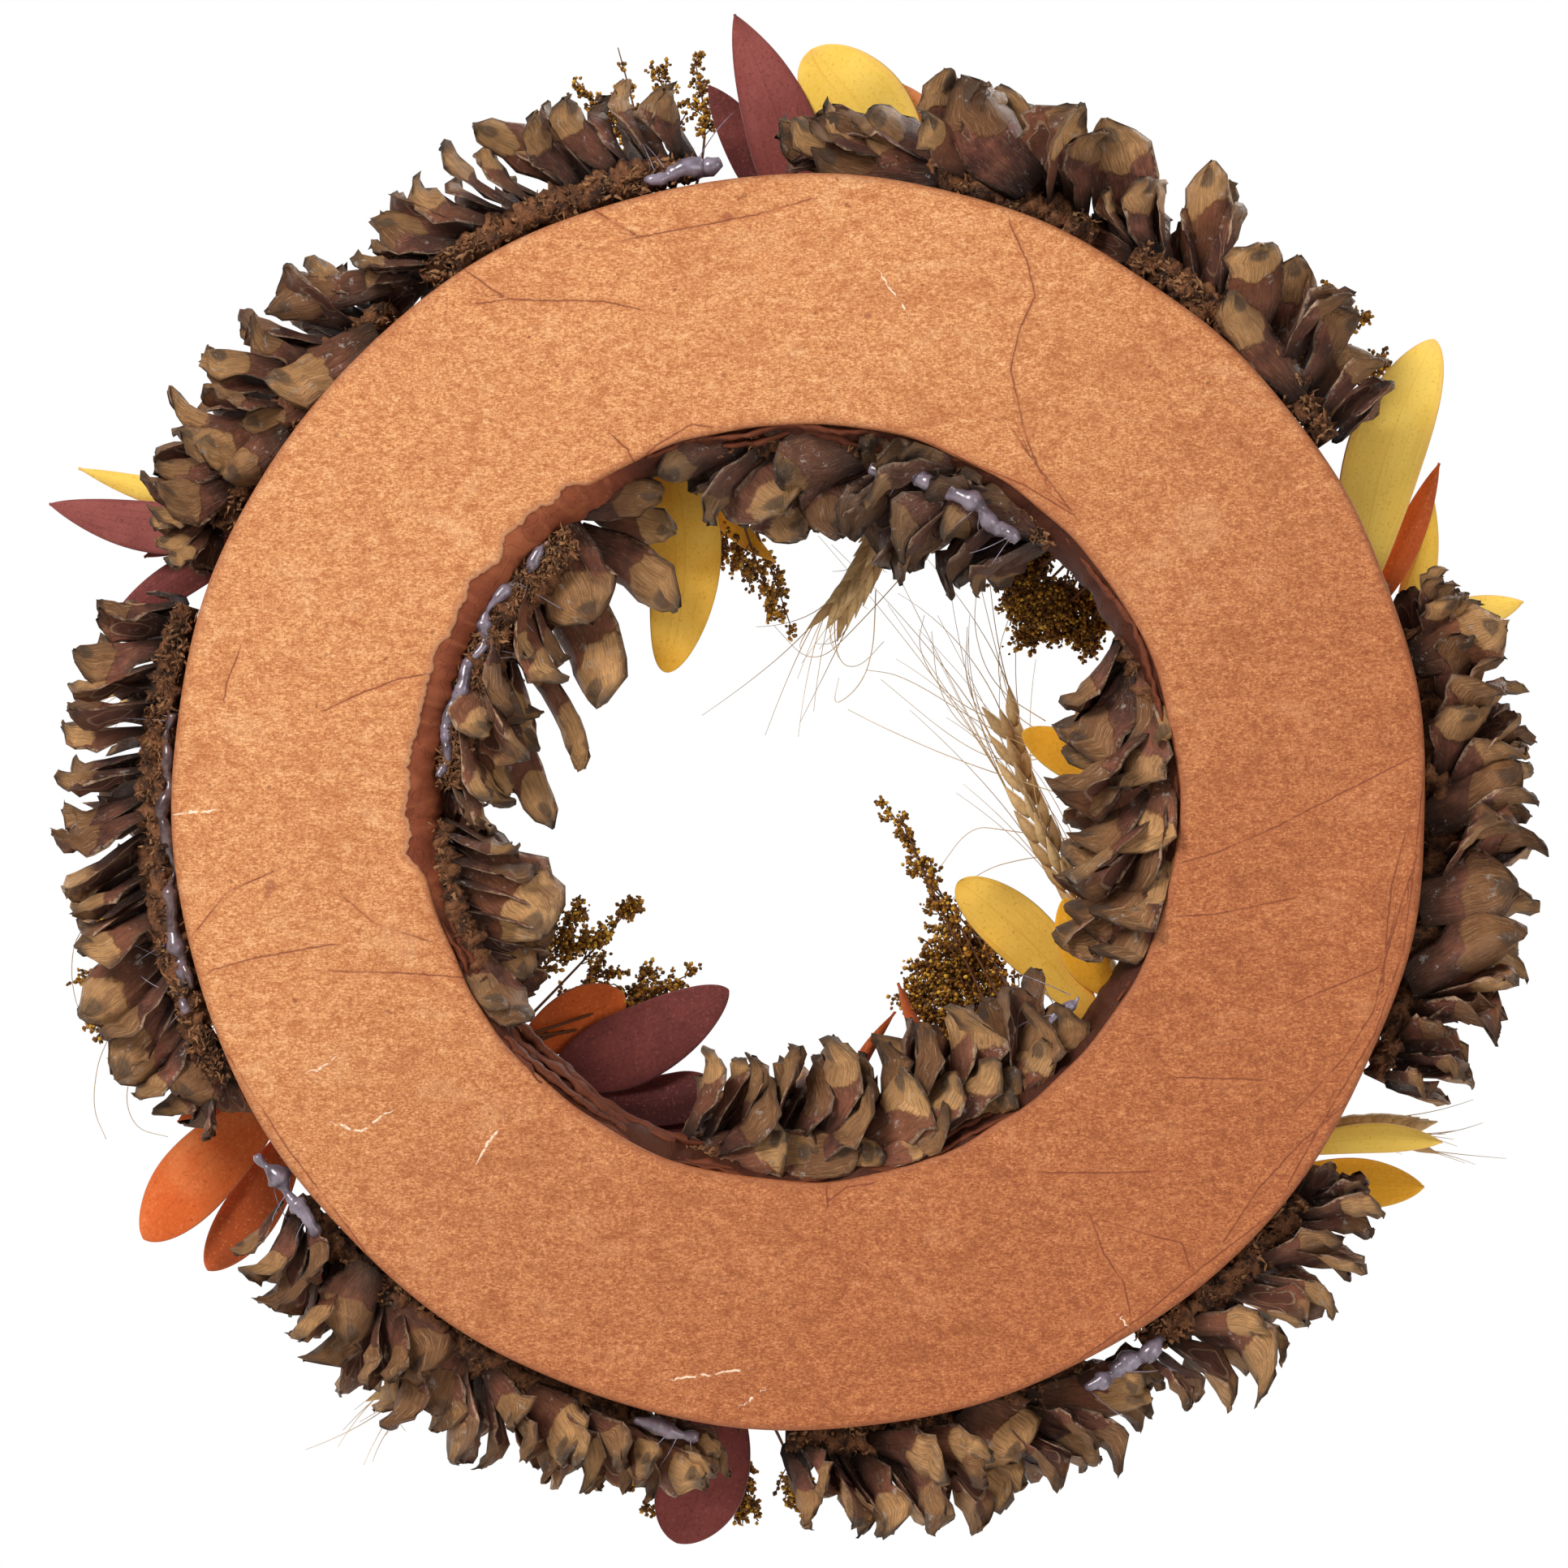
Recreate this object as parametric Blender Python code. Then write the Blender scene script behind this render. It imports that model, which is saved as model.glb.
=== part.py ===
"""Harvest door wreath: a padded ring with a paper back, halved pine cones, dyed leaves, florets and barley.

The ring stands upright with its back on the plane y = 0 and its front towards +Y. Z is up. The origin is
the place where a door hook carries it: the top of the hole, on the back plane. Every piece is placed round
the ring's centre by an angle (degrees, 0 towards +X, 90 up), a distance from the centre and a depth from
the back.
"""
import math

import bpy
import bmesh
from mathutils import Vector

# Ring
HOLE_RADIUS = 0.079          # narrowest part of the hole, between the inner walls
RING_WIDTH = 0.064           # inner wall to outer wall
RING_DEPTH = 0.036           # flat back to the crown of the front
SHOULDER_WIDTH = 0.009       # how far each rounded back edge cuts into the flat back
SHOULDER_DEPTH = 0.014       # depth at which the ring is widest
SHEET_THICKNESS = 0.0006     # paper on the back
SHEET_HEM_DEPTH = 0.0050     # how deep the paper is folded over both shoulders
TORN_FROM, TORN_TO = 121.0, 189.0   # angles between which the paper's inner edge is torn short
TORN_WIDTH = 0.0055          # how far the torn edge stays back from the flat's inner edge
HEM_RETURN = 40.0            # degrees over which the fold comes back to its full depth beside the tear
HEM_START = 0.04             # share of the full depth that the fold has right beside the tear
WRAP_THICKNESS = 0.0008      # covering of the core
WRAP_OPEN_WIDTH = 0.012      # seam left open in the middle of the back
HOOK_SEAT = 0.006            # from the narrowest hole radius out to where the hook carries the ring

# Cones
WALL_CONE_REACH = 0.026      # cut face to scale tips, on both walls
WALL_CONE_DEPTH = 0.038      # size of a wall cone along the ring's depth
FRONT_CONE_WIDTH = 0.040
FRONT_CONE_HEIGHT = 0.042
CONE_BUMP = 0.07             # share by which the scale rows stand in and out
CONE_SPACING = 0.0022        # left between one cone and the next along the ring

# Sprigs
LEAF_THICKNESS = 0.0016
STEM_RADIUS = 0.0013
FLORET_RADIUS = 0.0105
EAR_RADIUS = 0.0046
GLUE_RADIUS = 0.0012

GAP = 0.0005                 # clearance between pieces that touch
RING_SEGMENTS = 48
ARC_POINTS = 4               # points on each rounded quarter of the ring's section

RING_CENTRE_Z = -(HOLE_RADIUS + HOOK_SEAT)
MIDDLE_RADIUS = HOLE_RADIUS + RING_WIDTH / 2
OUTER_RADIUS = HOLE_RADIUS + RING_WIDTH
WRAP_INSET = SHEET_THICKNESS + GAP        # the wrap lies this far inside the ring's outline
FRONT_LAYER = WALL_CONE_DEPTH + 3 * GAP   # depth at which sprigs clear the wall cones

# Angles where each cone starts and ends
OUTER_CONES = [(33, 60), (61, 88), (98, 127), (128, 156), (161, 207), (217, 260), (267.5, 299),
               (301, 323), (333, 377)]
INNER_CONES = [(44, 105), (129, 179), (181, 220), (248, 321), (-26, 29)]
FRONT_CONES = [(98, 118), (134, 158), (174, 205), (221, 254), (270, 317), (333, 379), (35, 82)]

# Leaf sprigs: name, colour, root angle, on the inner wall, turn from straight out, length, width, depth layer
LEAVES = [
    ("burgundy_leaf_top", "burgundy", 90.0, False, 19, 0.047, 0.018, 0),
    ("yellow_leaf_top", "yellow", 78.5, False, 43, 0.047, 0.021, 1),
    ("orange_leaf_top", "orange", 69.5, False, 53, 0.045, 0.011, 2),
    ("yellow_leaf_right", "yellow", 19.5, False, 55, 0.060, 0.018, 0),
    ("yellow_leaf_far_right", "yellow", 13.0, False, 9, 0.035, 0.009, 1),
    ("yellow_leaf_low_right", "yellow", 320.0, False, 58, 0.042, 0.011, 0),
    ("burgundy_leaf_bottom", "burgundy", 263.5, False, -13, 0.037, 0.020, 0),
    ("orange_leaf_low_left", "orange", 210.0, False, 16, 0.045, 0.017, 0),
    ("burgundy_leaf_left", "burgundy", 151.8, False, 23, 0.052, 0.012, 0),
    ("yellow_leaf_left", "yellow", 147.0, False, 24, 0.048, 0.008, 1),
    ("orange_leaf_left", "orange", 143.5, False, 49, 0.036, 0.009, 2),
    ("yellow_leaf_inner_top", "yellow", 110.0, True, 159, 0.050, 0.016, 0),
    ("yellow_leaf_inner_right", "yellow", 1.5, True, 157, 0.036, 0.011, 0),
    ("gold_leaf_inner_right", "gold", 323.5, True, 171, 0.043, 0.017, 0),
    ("burgundy_leaf_inner_left", "burgundy", 228.0, True, 158, 0.045, 0.017, 0),
    ("orange_leaf_inner_left", "orange", 215.0, True, 170, 0.022, 0.010, 1),
]
LEAF_LAYER_STEP = 0.0034
LEAF_SECTIONS = 12
HEAD_SECTIONS = 11

# Floret bunches: root angle, on the inner wall, angle of the head's middle, how far it is past the wall
FLORETS = [
    (100, True, 98, 0.025), (40, True, 37, 0.009), (310, True, 314, 0.019), (222, True, 220, 0.019),
    (105, False, 104, 0.025), (41, False, 41, 0.020), (262, False, 262, 0.015), (193, False, 193, 0.020),
]
FLORET_DEPTH = 0.018         # height of a head's middle above the front layer

# Barley ears: foot angle, on the inner wall, angle of the ear's tip, how far the tip is past the wall
BARLEY_EARS = [
    (78, True, 77, 0.034), (345, True, 12, 0.029), (166, False, 166, 0.023),
    (238, False, 236, 0.025), (328, False, 331, 0.021),
]
EAR_DEPTH = 0.016            # height of an ear above the front layer

# Hot-glue beads: start angle, end angle, on the inner wall
GLUE_BEADS = [
    (132, 172, True), (52, 88, True), (352, 368, True), (172, 197, False),
    (214, 221, False), (97, 103, False), (296, 304, False),
]

COLOURS = {
    "core": ((0.72, 0.62, 0.40), 0.9),
    "wrap": ((0.13, 0.07, 0.045), 0.75),
    "paper": ((0.66, 0.34, 0.14), 0.6),
    "cone": ((0.16, 0.085, 0.055), 0.7),
    "burgundy": ((0.25, 0.06, 0.05), 0.7),
    "yellow": ((0.75, 0.47, 0.10), 0.65),
    "gold": ((0.55, 0.30, 0.06), 0.65),
    "orange": ((0.50, 0.13, 0.03), 0.65),
    "floret": ((0.20, 0.10, 0.03), 0.85),
    "straw": ((0.45, 0.29, 0.10), 0.7),
    "glue": ((0.35, 0.27, 0.24), 0.25),
}


def clear_scene():
    for thing in list(bpy.data.objects):
        bpy.data.objects.remove(thing, do_unlink=True)


def around(angle, radius, depth):
    """The point at this angle and distance from the ring's centre, at this depth from the back."""
    turn = math.radians(angle)
    return Vector((radius * math.cos(turn), depth, RING_CENTRE_Z + radius * math.sin(turn)))


def material(name, colour, roughness):
    made = bpy.data.materials.new(name)
    made.use_nodes = True
    shader = made.node_tree.nodes["Principled BSDF"]
    shader.inputs["Base Color"].default_value = (*colour, 1)
    shader.inputs["Roughness"].default_value = roughness
    shader.inputs["Metallic"].default_value = 0
    return made


def loft(name, sections, finish, looped=False):
    """A closed solid through sections of equal point count, capped at both ends or joined into a ring."""
    mesh = bmesh.new()
    rings = [[mesh.verts.new(point) for point in section] for section in sections]
    count = len(rings[0])
    following = rings[1:] + rings[:1] if looped else rings[1:]
    for ring, after in zip(rings, following):
        for index in range(count):
            beside = (index + 1) % count
            mesh.faces.new((ring[index], ring[beside], after[beside], after[index]))
    if not looped:
        mesh.faces.new(rings[0])
        mesh.faces.new(rings[-1])
    bmesh.ops.recalc_face_normals(mesh, faces=mesh.faces)
    data = bpy.data.meshes.new(name)
    mesh.to_mesh(data)
    mesh.free()
    data.shade_smooth()
    data.set_sharp_from_angle(angle=math.radians(50))
    piece = bpy.data.objects.new(name, data)
    bpy.context.scene.collection.objects.link(piece)
    data.materials.append(material(name, *COLOURS[finish]))
    return piece


# ---- the ring ----

def quarter(centre, half_width, depth_start, depth_end, start, end, count):
    """Points on a quarter ellipse, from the angle start to the angle end (90 is the front)."""
    points = []
    for step in range(count):
        turn = math.radians(start + (end - start) * step / (count - 1))
        radius = centre + half_width * math.cos(turn)
        points.append((radius, depth_start + (depth_end - depth_start) * math.sin(turn)))
    return points


def ring_outline(inset=0.0):
    """(distance, depth) points round the ring's section, from the flat back's inner edge over the front."""
    half = RING_WIDTH / 2 - inset
    flat = RING_WIDTH / 2 - SHOULDER_WIDTH
    shoulder = half - flat
    inner_shoulder = quarter(MIDDLE_RADIUS - flat, -shoulder, SHOULDER_DEPTH, inset, 90, 0, ARC_POINTS)
    inner_front = quarter(MIDDLE_RADIUS, -half, SHOULDER_DEPTH, RING_DEPTH - inset, 0, 90, ARC_POINTS)
    outer_front = quarter(MIDDLE_RADIUS, half, SHOULDER_DEPTH, RING_DEPTH - inset, 90, 0, ARC_POINTS)
    outer_shoulder = quarter(MIDDLE_RADIUS + flat, shoulder, SHOULDER_DEPTH, inset, 0, 90, ARC_POINTS)
    return inner_shoulder + inner_front[1:] + outer_front[1:] + outer_shoulder[1:]


def ring_sections(outline_at):
    angles = [360 * step / RING_SEGMENTS for step in range(RING_SEGMENTS)]
    return [[around(angle, *point) for point in outline_at(angle)] for angle in angles]


def front_depth(radius):
    """Depth of the wrap's front face at this distance from the centre."""
    front = [point for point in ring_outline(WRAP_INSET) if point[1] >= SHOULDER_DEPTH]
    for (near, near_depth), (far, far_depth) in zip(front, front[1:]):
        if near <= radius <= far and far > near:
            return near_depth + (far_depth - near_depth) * (radius - near) / (far - near)
    return SHOULDER_DEPTH


def make_core():
    inset = WRAP_INSET + WRAP_THICKNESS + GAP
    loft("core_ring", ring_sections(lambda angle: ring_outline(inset)), "core", looped=True)


def make_wrap():
    """A shell round the core, open along a seam in the middle of the back, under the paper."""
    inside = WRAP_INSET + WRAP_THICKNESS
    seam = WRAP_OPEN_WIDTH / 2
    outer_line = [(MIDDLE_RADIUS - seam, WRAP_INSET), *ring_outline(WRAP_INSET),
                  (MIDDLE_RADIUS + seam, WRAP_INSET)]
    inner_line = [(MIDDLE_RADIUS - seam, inside), *ring_outline(inside), (MIDDLE_RADIUS + seam, inside)]
    section = outer_line + inner_line[::-1]
    loft("ring_wrap", ring_sections(lambda angle: section), "wrap", looped=True)


def hem(side, inset, depth):
    """Points of the paper's edge, folded over a shoulder down to this depth; side is -1 inside, 1 outside."""
    flat = RING_WIDTH / 2 - SHOULDER_WIDTH
    shoulder = SHOULDER_WIDTH - inset
    points = []
    for share in (0.0, 0.35, 0.7, 1.0):
        level = inset + depth * share * share
        fall = (SHOULDER_DEPTH - level) / (SHOULDER_DEPTH - inset)
        points.append((MIDDLE_RADIUS + side * (flat + shoulder * math.sqrt(1 - fall * fall)), level))
    return points


def inner_edge(angle, inset):
    """The paper's inner edge, outermost point last: folded over the shoulder, or torn short on the flat."""
    outside_tear = abs((angle - (TORN_FROM + TORN_TO) / 2 + 180) % 360 - 180) - (TORN_TO - TORN_FROM) / 2
    if outside_tear < 0:
        edge = MIDDLE_RADIUS - RING_WIDTH / 2 + SHOULDER_WIDTH + TORN_WIDTH
        return [(edge + SHEET_THICKNESS * step, inset) for step in range(4)]
    folded = max(0.0, outside_tear - 360 / RING_SEGMENTS) / HEM_RETURN
    return hem(-1, inset, SHEET_HEM_DEPTH * min(1.0, HEM_START + folded))[::-1]


def sheet_section(angle):
    """Outer face, then inner face, of the paper."""
    outer_face = inner_edge(angle, 0.0) + hem(1, 0.0, SHEET_HEM_DEPTH)
    inner_face = inner_edge(angle, SHEET_THICKNESS) + hem(1, SHEET_THICKNESS, SHEET_HEM_DEPTH)
    return outer_face + inner_face[::-1]


def make_sheet():
    loft("back_sheet", ring_sections(sheet_section), "paper", looped=True)


# ---- cones ----

def cone_fullness(share):
    """Size of a cone along its length, from the broad cut base (0) to the rounded tip (1)."""
    return 0.45 + 0.55 * math.sin(math.pi * min(1.0, 0.12 + share * 0.86)) ** 0.6


def bump(row, place):
    return 1 + CONE_BUMP * (1 if (row + place) % 2 else -1)


def cone_angles(span, radius):
    """Angles of a cone's cross-sections, ends kept clear of its neighbours."""
    margin = math.degrees(CONE_SPACING / 2 / radius)
    start, end = span[0] + margin, span[1] - margin
    rows = max(7, round(math.radians(end - start) * radius / 0.0085))
    return [(row, row / rows, start + (end - start) * row / rows) for row in range(rows + 1)]


def make_wall_cone(name, span, inner):
    out_of_wrap = GAP - WRAP_INSET
    wall = HOLE_RADIUS - out_of_wrap if inner else OUTER_RADIUS + out_of_wrap
    reach = (-1 if inner else 1) * WALL_CONE_REACH / (1 + CONE_BUMP)
    middle = WALL_CONE_DEPTH / 2 + GAP
    half_depth = (WALL_CONE_DEPTH / 2 - GAP) / (1 + CONE_BUMP)
    sections = []
    for row, share, angle in cone_angles(span, wall):
        size = cone_fullness(share)
        section = []
        for place in range(9):
            turn = math.radians(-90 + 180 * place / 8)
            out = size * bump(row, place)
            radius = wall + reach * out * math.cos(turn)
            section.append(around(angle, radius, middle + half_depth * out * math.sin(turn)))
        sections.append(section)
    loft(name, sections, "cone")


def make_front_cone(name, span):
    """A cone lying on the ring's crown, cut face down."""
    half_width = FRONT_CONE_WIDTH / 2 / (1 + CONE_BUMP)
    height = FRONT_CONE_HEIGHT / (1 + CONE_BUMP)
    foot = RING_DEPTH - WRAP_INSET + GAP
    sections = []
    for row, share, angle in cone_angles(span, MIDDLE_RADIUS):
        size = cone_fullness(share)
        section = []
        for place in range(9):
            turn = math.radians(-90 + 180 * place / 8)
            out = size * bump(row, place)
            radius = MIDDLE_RADIUS + half_width * out * math.sin(turn)
            section.append(around(angle, radius, foot + height * out * math.cos(turn)))
        sections.append(section)
    loft(name, sections, "cone")


def make_cones():
    for index, span in enumerate(OUTER_CONES, 1):
        make_wall_cone(f"outer_cone_{index}", span, inner=False)
    for index, span in enumerate(INNER_CONES, 1):
        make_wall_cone(f"inner_cone_{index}", span, inner=True)
    for index, span in enumerate(FRONT_CONES, 1):
        make_front_cone(f"front_cone_{index}", span)


# ---- sprigs ----

def root_point(angle, inner):
    """Where a stem is glued: on the ring's front, just inside its outer or inner wall."""
    inward = SHOULDER_WIDTH * 0.62
    radius = HOLE_RADIUS + inward if inner else OUTER_RADIUS - inward
    return around(angle, radius, front_depth(radius) + STEM_RADIUS + GAP)


def sprig_path(root, above, tip, count):
    """Points of a stem that rises from its root to above it, then bends over to its tip (a cubic curve)."""
    points = []
    for step in range(count):
        share = step / (count - 1)
        left = 1 - share
        points.append(root * left ** 3 + above * (1 - left ** 3 - share ** 3) + tip * share ** 3)
    return points


def swept(name, path, side, sizes, finish, corners):
    """A solid along a path: each section is an ellipse with the half width and half thickness in sizes."""
    sections = []
    for index, point in enumerate(path):
        ahead = path[min(index + 1, len(path) - 1)] - path[max(index - 1, 0)]
        up = side.cross(ahead).normalized()
        half_width, half_thickness = sizes[index]
        turns = [2 * math.pi * corner / corners for corner in range(corners)]
        sections.append([point + side * half_width * math.cos(turn) + up * half_thickness * math.sin(turn)
                         for turn in turns])
    loft(name, sections, finish)


def make_leaf(name, finish, angle, inner, turn, length, width, layer):
    root = root_point(angle, inner)
    depth = FRONT_LAYER + LEAF_THICKNESS + layer * LEAF_LAYER_STEP
    heading = math.radians(angle + turn)
    direction = Vector((math.cos(heading), 0, math.sin(heading)))
    above = Vector((root.x, depth, root.z))
    path = sprig_path(root, above, above + direction * length, LEAF_SECTIONS)
    sizes = []
    for step in range(LEAF_SECTIONS):
        share = max(0.0, step / (LEAF_SECTIONS - 1) - 0.45) / 0.55
        blade = math.sin(math.pi * share ** 0.8)
        sizes.append((STEM_RADIUS + (width / 2 - STEM_RADIUS) * blade,
                      STEM_RADIUS + (LEAF_THICKNESS / 2 - STEM_RADIUS) * min(1.0, share * 3)))
    sizes[-1] = (STEM_RADIUS / 2, LEAF_THICKNESS / 4)
    side = Vector((-direction.z, 0, direction.x))
    swept(name, path, side, sizes, finish, 4)


def make_head(name, finish, angle, inner, tip_angle, reach, depth, radius, stem_share):
    """A stem from the ring's front with a rounded head at its end: a floret bunch or an ear."""
    root = root_point(angle, inner)
    tip_distance = HOLE_RADIUS - reach if inner else OUTER_RADIUS + reach
    middle = around(tip_angle, tip_distance, FRONT_LAYER + depth)
    above = Vector((root.x, middle.y, root.z))
    path = sprig_path(root, above, middle, HEAD_SECTIONS)
    sizes = []
    for step in range(HEAD_SECTIONS):
        share = max(0.0, step / (HEAD_SECTIONS - 1) - stem_share) / (1 - stem_share)
        size = STEM_RADIUS + (radius - STEM_RADIUS) * math.sin(math.pi * share) ** 0.7
        sizes.append((size, size))
    flat = Vector((middle.x - root.x, 0, middle.z - root.z)).normalized()
    swept(name, path, Vector((-flat.z, 0, flat.x)), sizes, finish, 7)


def make_sprigs():
    for leaf in LEAVES:
        make_leaf(*leaf)
    for index, floret in enumerate(FLORETS, 1):
        make_head(f"floret_bunch_{index}", "floret", *floret, FLORET_DEPTH, FLORET_RADIUS, 0.35)
    for index, ear in enumerate(BARLEY_EARS, 1):
        make_head(f"barley_ear_{index}", "straw", *ear, EAR_DEPTH, EAR_RADIUS, 0.4)


def make_glue():
    """Beads lying in the groove between the ring's shoulder and the wall cones."""
    for index, (start, end, inner) in enumerate(GLUE_BEADS, 1):
        away = GLUE_RADIUS + WRAP_INSET
        radius = HOLE_RADIUS + away if inner else OUTER_RADIUS - away
        count = max(5, round((end - start) / 2.5))
        path = [around(start + (end - start) * step / (count - 1), radius, GLUE_RADIUS + GAP / 2)
                for step in range(count)]
        sizes = [(GLUE_RADIUS * (0.85 + 0.15 * math.sin(3 * step)),) * 2 for step in range(count)]
        sizes[0] = sizes[-1] = (GLUE_RADIUS * 0.5,) * 2
        swept(f"glue_bead_{index}", path, Vector((0, 1, 0)), sizes, "glue", 6)


def main():
    clear_scene()
    make_core()
    make_wrap()
    make_sheet()
    make_cones()
    make_sprigs()
    make_glue()


main()
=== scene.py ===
import bpy
import numpy as np
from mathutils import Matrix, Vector


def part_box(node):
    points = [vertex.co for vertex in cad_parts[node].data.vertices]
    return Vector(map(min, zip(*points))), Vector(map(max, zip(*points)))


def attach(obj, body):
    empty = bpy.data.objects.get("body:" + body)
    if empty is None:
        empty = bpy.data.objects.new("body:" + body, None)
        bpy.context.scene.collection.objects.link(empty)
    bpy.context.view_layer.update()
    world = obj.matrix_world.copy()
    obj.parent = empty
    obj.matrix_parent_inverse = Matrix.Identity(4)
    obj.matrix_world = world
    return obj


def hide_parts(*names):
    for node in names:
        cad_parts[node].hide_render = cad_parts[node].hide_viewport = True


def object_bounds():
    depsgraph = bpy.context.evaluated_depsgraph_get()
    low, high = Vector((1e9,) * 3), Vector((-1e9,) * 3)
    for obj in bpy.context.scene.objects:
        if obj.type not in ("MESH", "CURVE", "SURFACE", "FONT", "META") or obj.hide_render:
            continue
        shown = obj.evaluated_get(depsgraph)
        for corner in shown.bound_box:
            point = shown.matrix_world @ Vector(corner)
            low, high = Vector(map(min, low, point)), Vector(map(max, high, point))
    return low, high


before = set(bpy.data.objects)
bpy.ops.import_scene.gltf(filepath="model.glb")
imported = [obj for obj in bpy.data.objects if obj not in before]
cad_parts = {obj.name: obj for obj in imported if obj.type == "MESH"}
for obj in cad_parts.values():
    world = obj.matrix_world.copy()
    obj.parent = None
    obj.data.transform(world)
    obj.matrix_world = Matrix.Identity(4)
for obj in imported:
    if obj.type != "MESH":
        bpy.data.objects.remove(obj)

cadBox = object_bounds()     # the box round the CAD parts
mm = 0.001


def nodePoints(name):
    # the corners of a CAD node as rows of xyz
    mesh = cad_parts[name].data
    flat = np.empty(len(mesh.vertices) * 3, np.float32)
    mesh.vertices.foreach_get("co", flat)
    return flat.reshape(-1, 3).astype(float)


wrapLow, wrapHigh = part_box("ring_wrap")
centre = np.array([(wrapLow.x + wrapHigh.x) / 2, 0.0, (wrapLow.z + wrapHigh.z) / 2])


def ringPlace(points):
    # angle in degrees, distance from the ring's centre, depth from the back
    x, z = points[..., 0] - centre[0], points[..., 2] - centre[2]
    return np.degrees(np.arctan2(z, x)), np.hypot(x, z), points[..., 1]


def around(angle, radius, depth):
    # the point at this angle and distance from the ring's centre, and this depth: whole arrays at a time
    turn = np.radians(angle)
    angle, radius, depth = np.broadcast_arrays(turn, radius, depth)
    return np.stack([centre[0] + radius * np.cos(turn), depth, centre[2] + radius * np.sin(turn)], -1)


def arcOf(name):
    # where a piece starts and ends round the ring, with its lowest and highest distance and depth
    angle, radius, depth = ringPlace(nodePoints(name))
    middle = np.degrees(np.arctan2(np.sin(np.radians(angle)).mean(), np.cos(np.radians(angle)).mean()))
    turned = (angle - middle + 180) % 360 - 180
    return middle + turned.min(), middle + turned.max(), radius.min(), radius.max(), depth.min(), depth.max()


wrapRadius, wrapDepth = ringPlace(nodePoints("ring_wrap"))[1:]
sheetRadius, sheetDepth = ringPlace(nodePoints("back_sheet"))[1:]
ring = {
    "inner": wrapRadius.min(), "outer": wrapRadius.max(), "front": wrapDepth.max(),
    "flatInner": sheetRadius[sheetDepth < 1e-5].min(), "flatOuter": sheetRadius[sheetDepth < 1e-5].max(),
    "hemOuter": sheetRadius.max(), "hemDepth": sheetDepth.max(),
    "widest": wrapDepth[wrapRadius > wrapRadius.max() - 1e-5].mean(),
}
ring["middle"] = (ring["inner"] + ring["outer"]) / 2
print("ring", {key: round(float(value), 4) for key, value in ring.items()})


def unit(vectors):
    # the same directions with length 1
    return vectors / np.maximum(np.linalg.norm(vectors, axis=-1, keepdims=True), 1e-12)


def waves(points, size, seed, count=24):
    # smooth wander between about -1 and 1: the sum of sine waves in random directions, each about size long
    rng = np.random.default_rng(seed)
    directions = unit(rng.normal(size=(count, 3))) * rng.uniform(0.6, 1.7, (count, 1)) * 2 * np.pi / size
    phase = rng.uniform(0, 2 * np.pi, count)
    total = np.zeros(points.shape[:-1])
    for direction, start in zip(directions, phase):
        total += np.sin(points @ direction + start)
    return total / np.sqrt(count)


def tube(points, looped=False, **attributes):
    # tubes as an array [tube, row along it, point round it, xyz]; attributes have the same first three sizes
    while points.ndim < 4:
        points = points[None]
    shape = points.shape[:3]
    spread = {key: np.broadcast_to(value, shape).astype(np.float32) for key, value in attributes.items()}
    local = points - points.mean((1, 2), keepdims=True)
    after = np.roll(local, -1, 2)
    rows = slice(None) if looped else slice(0, -1)
    nextRow, nextAfter = np.roll(local, -1, 1)[:, rows], np.roll(after, -1, 1)[:, rows]
    a, b = local[:, rows], after[:, rows]
    volume = (a * np.cross(b, nextAfter)).sum((1, 2, 3)) + (a * np.cross(nextAfter, nextRow)).sum((1, 2, 3))
    if not looped:
        for ends, sign in ((local[:, 0], -1), (local[:, -1], 1)):
            volume += sign * (ends[:, :1] * np.cross(ends, np.roll(ends, -1, 1))).sum((1, 2))
    wrong = volume < 0     # these tubes are inside out, so their points run the other way round
    points = np.where(wrong[:, None, None, None], points[:, :, ::-1], points)
    spread = {key: np.where(wrong[:, None, None], value[:, :, ::-1], value) for key,
              value in spread.items()}
    return {"points": points, "looped": looped, "attributes": spread}


def tubeFaces(count, rows, sides, looped):
    # a square between each two rows and each two points round them, and a many-sided cap at both open ends
    corner, beside = np.arange(sides), (np.arange(sides) + 1) % sides
    row = np.arange(rows if looped else rows - 1)[:, None]
    ahead = (row + 1) % rows
    quads = np.stack([row * sides + corner, row * sides + beside, ahead * sides + beside, ahead * sides
                      + corner], -1)
    start = (np.arange(count) * rows * sides)[:, None, None]
    quads = (quads.reshape(1, -1, 4) + start).reshape(-1, 4)
    if looped:
        return quads, np.empty((0, sides), int)
    caps = np.stack([corner[::-1], (rows - 1) * sides + corner])
    return quads, (caps[None] + start).reshape(-1, sides)


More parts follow.
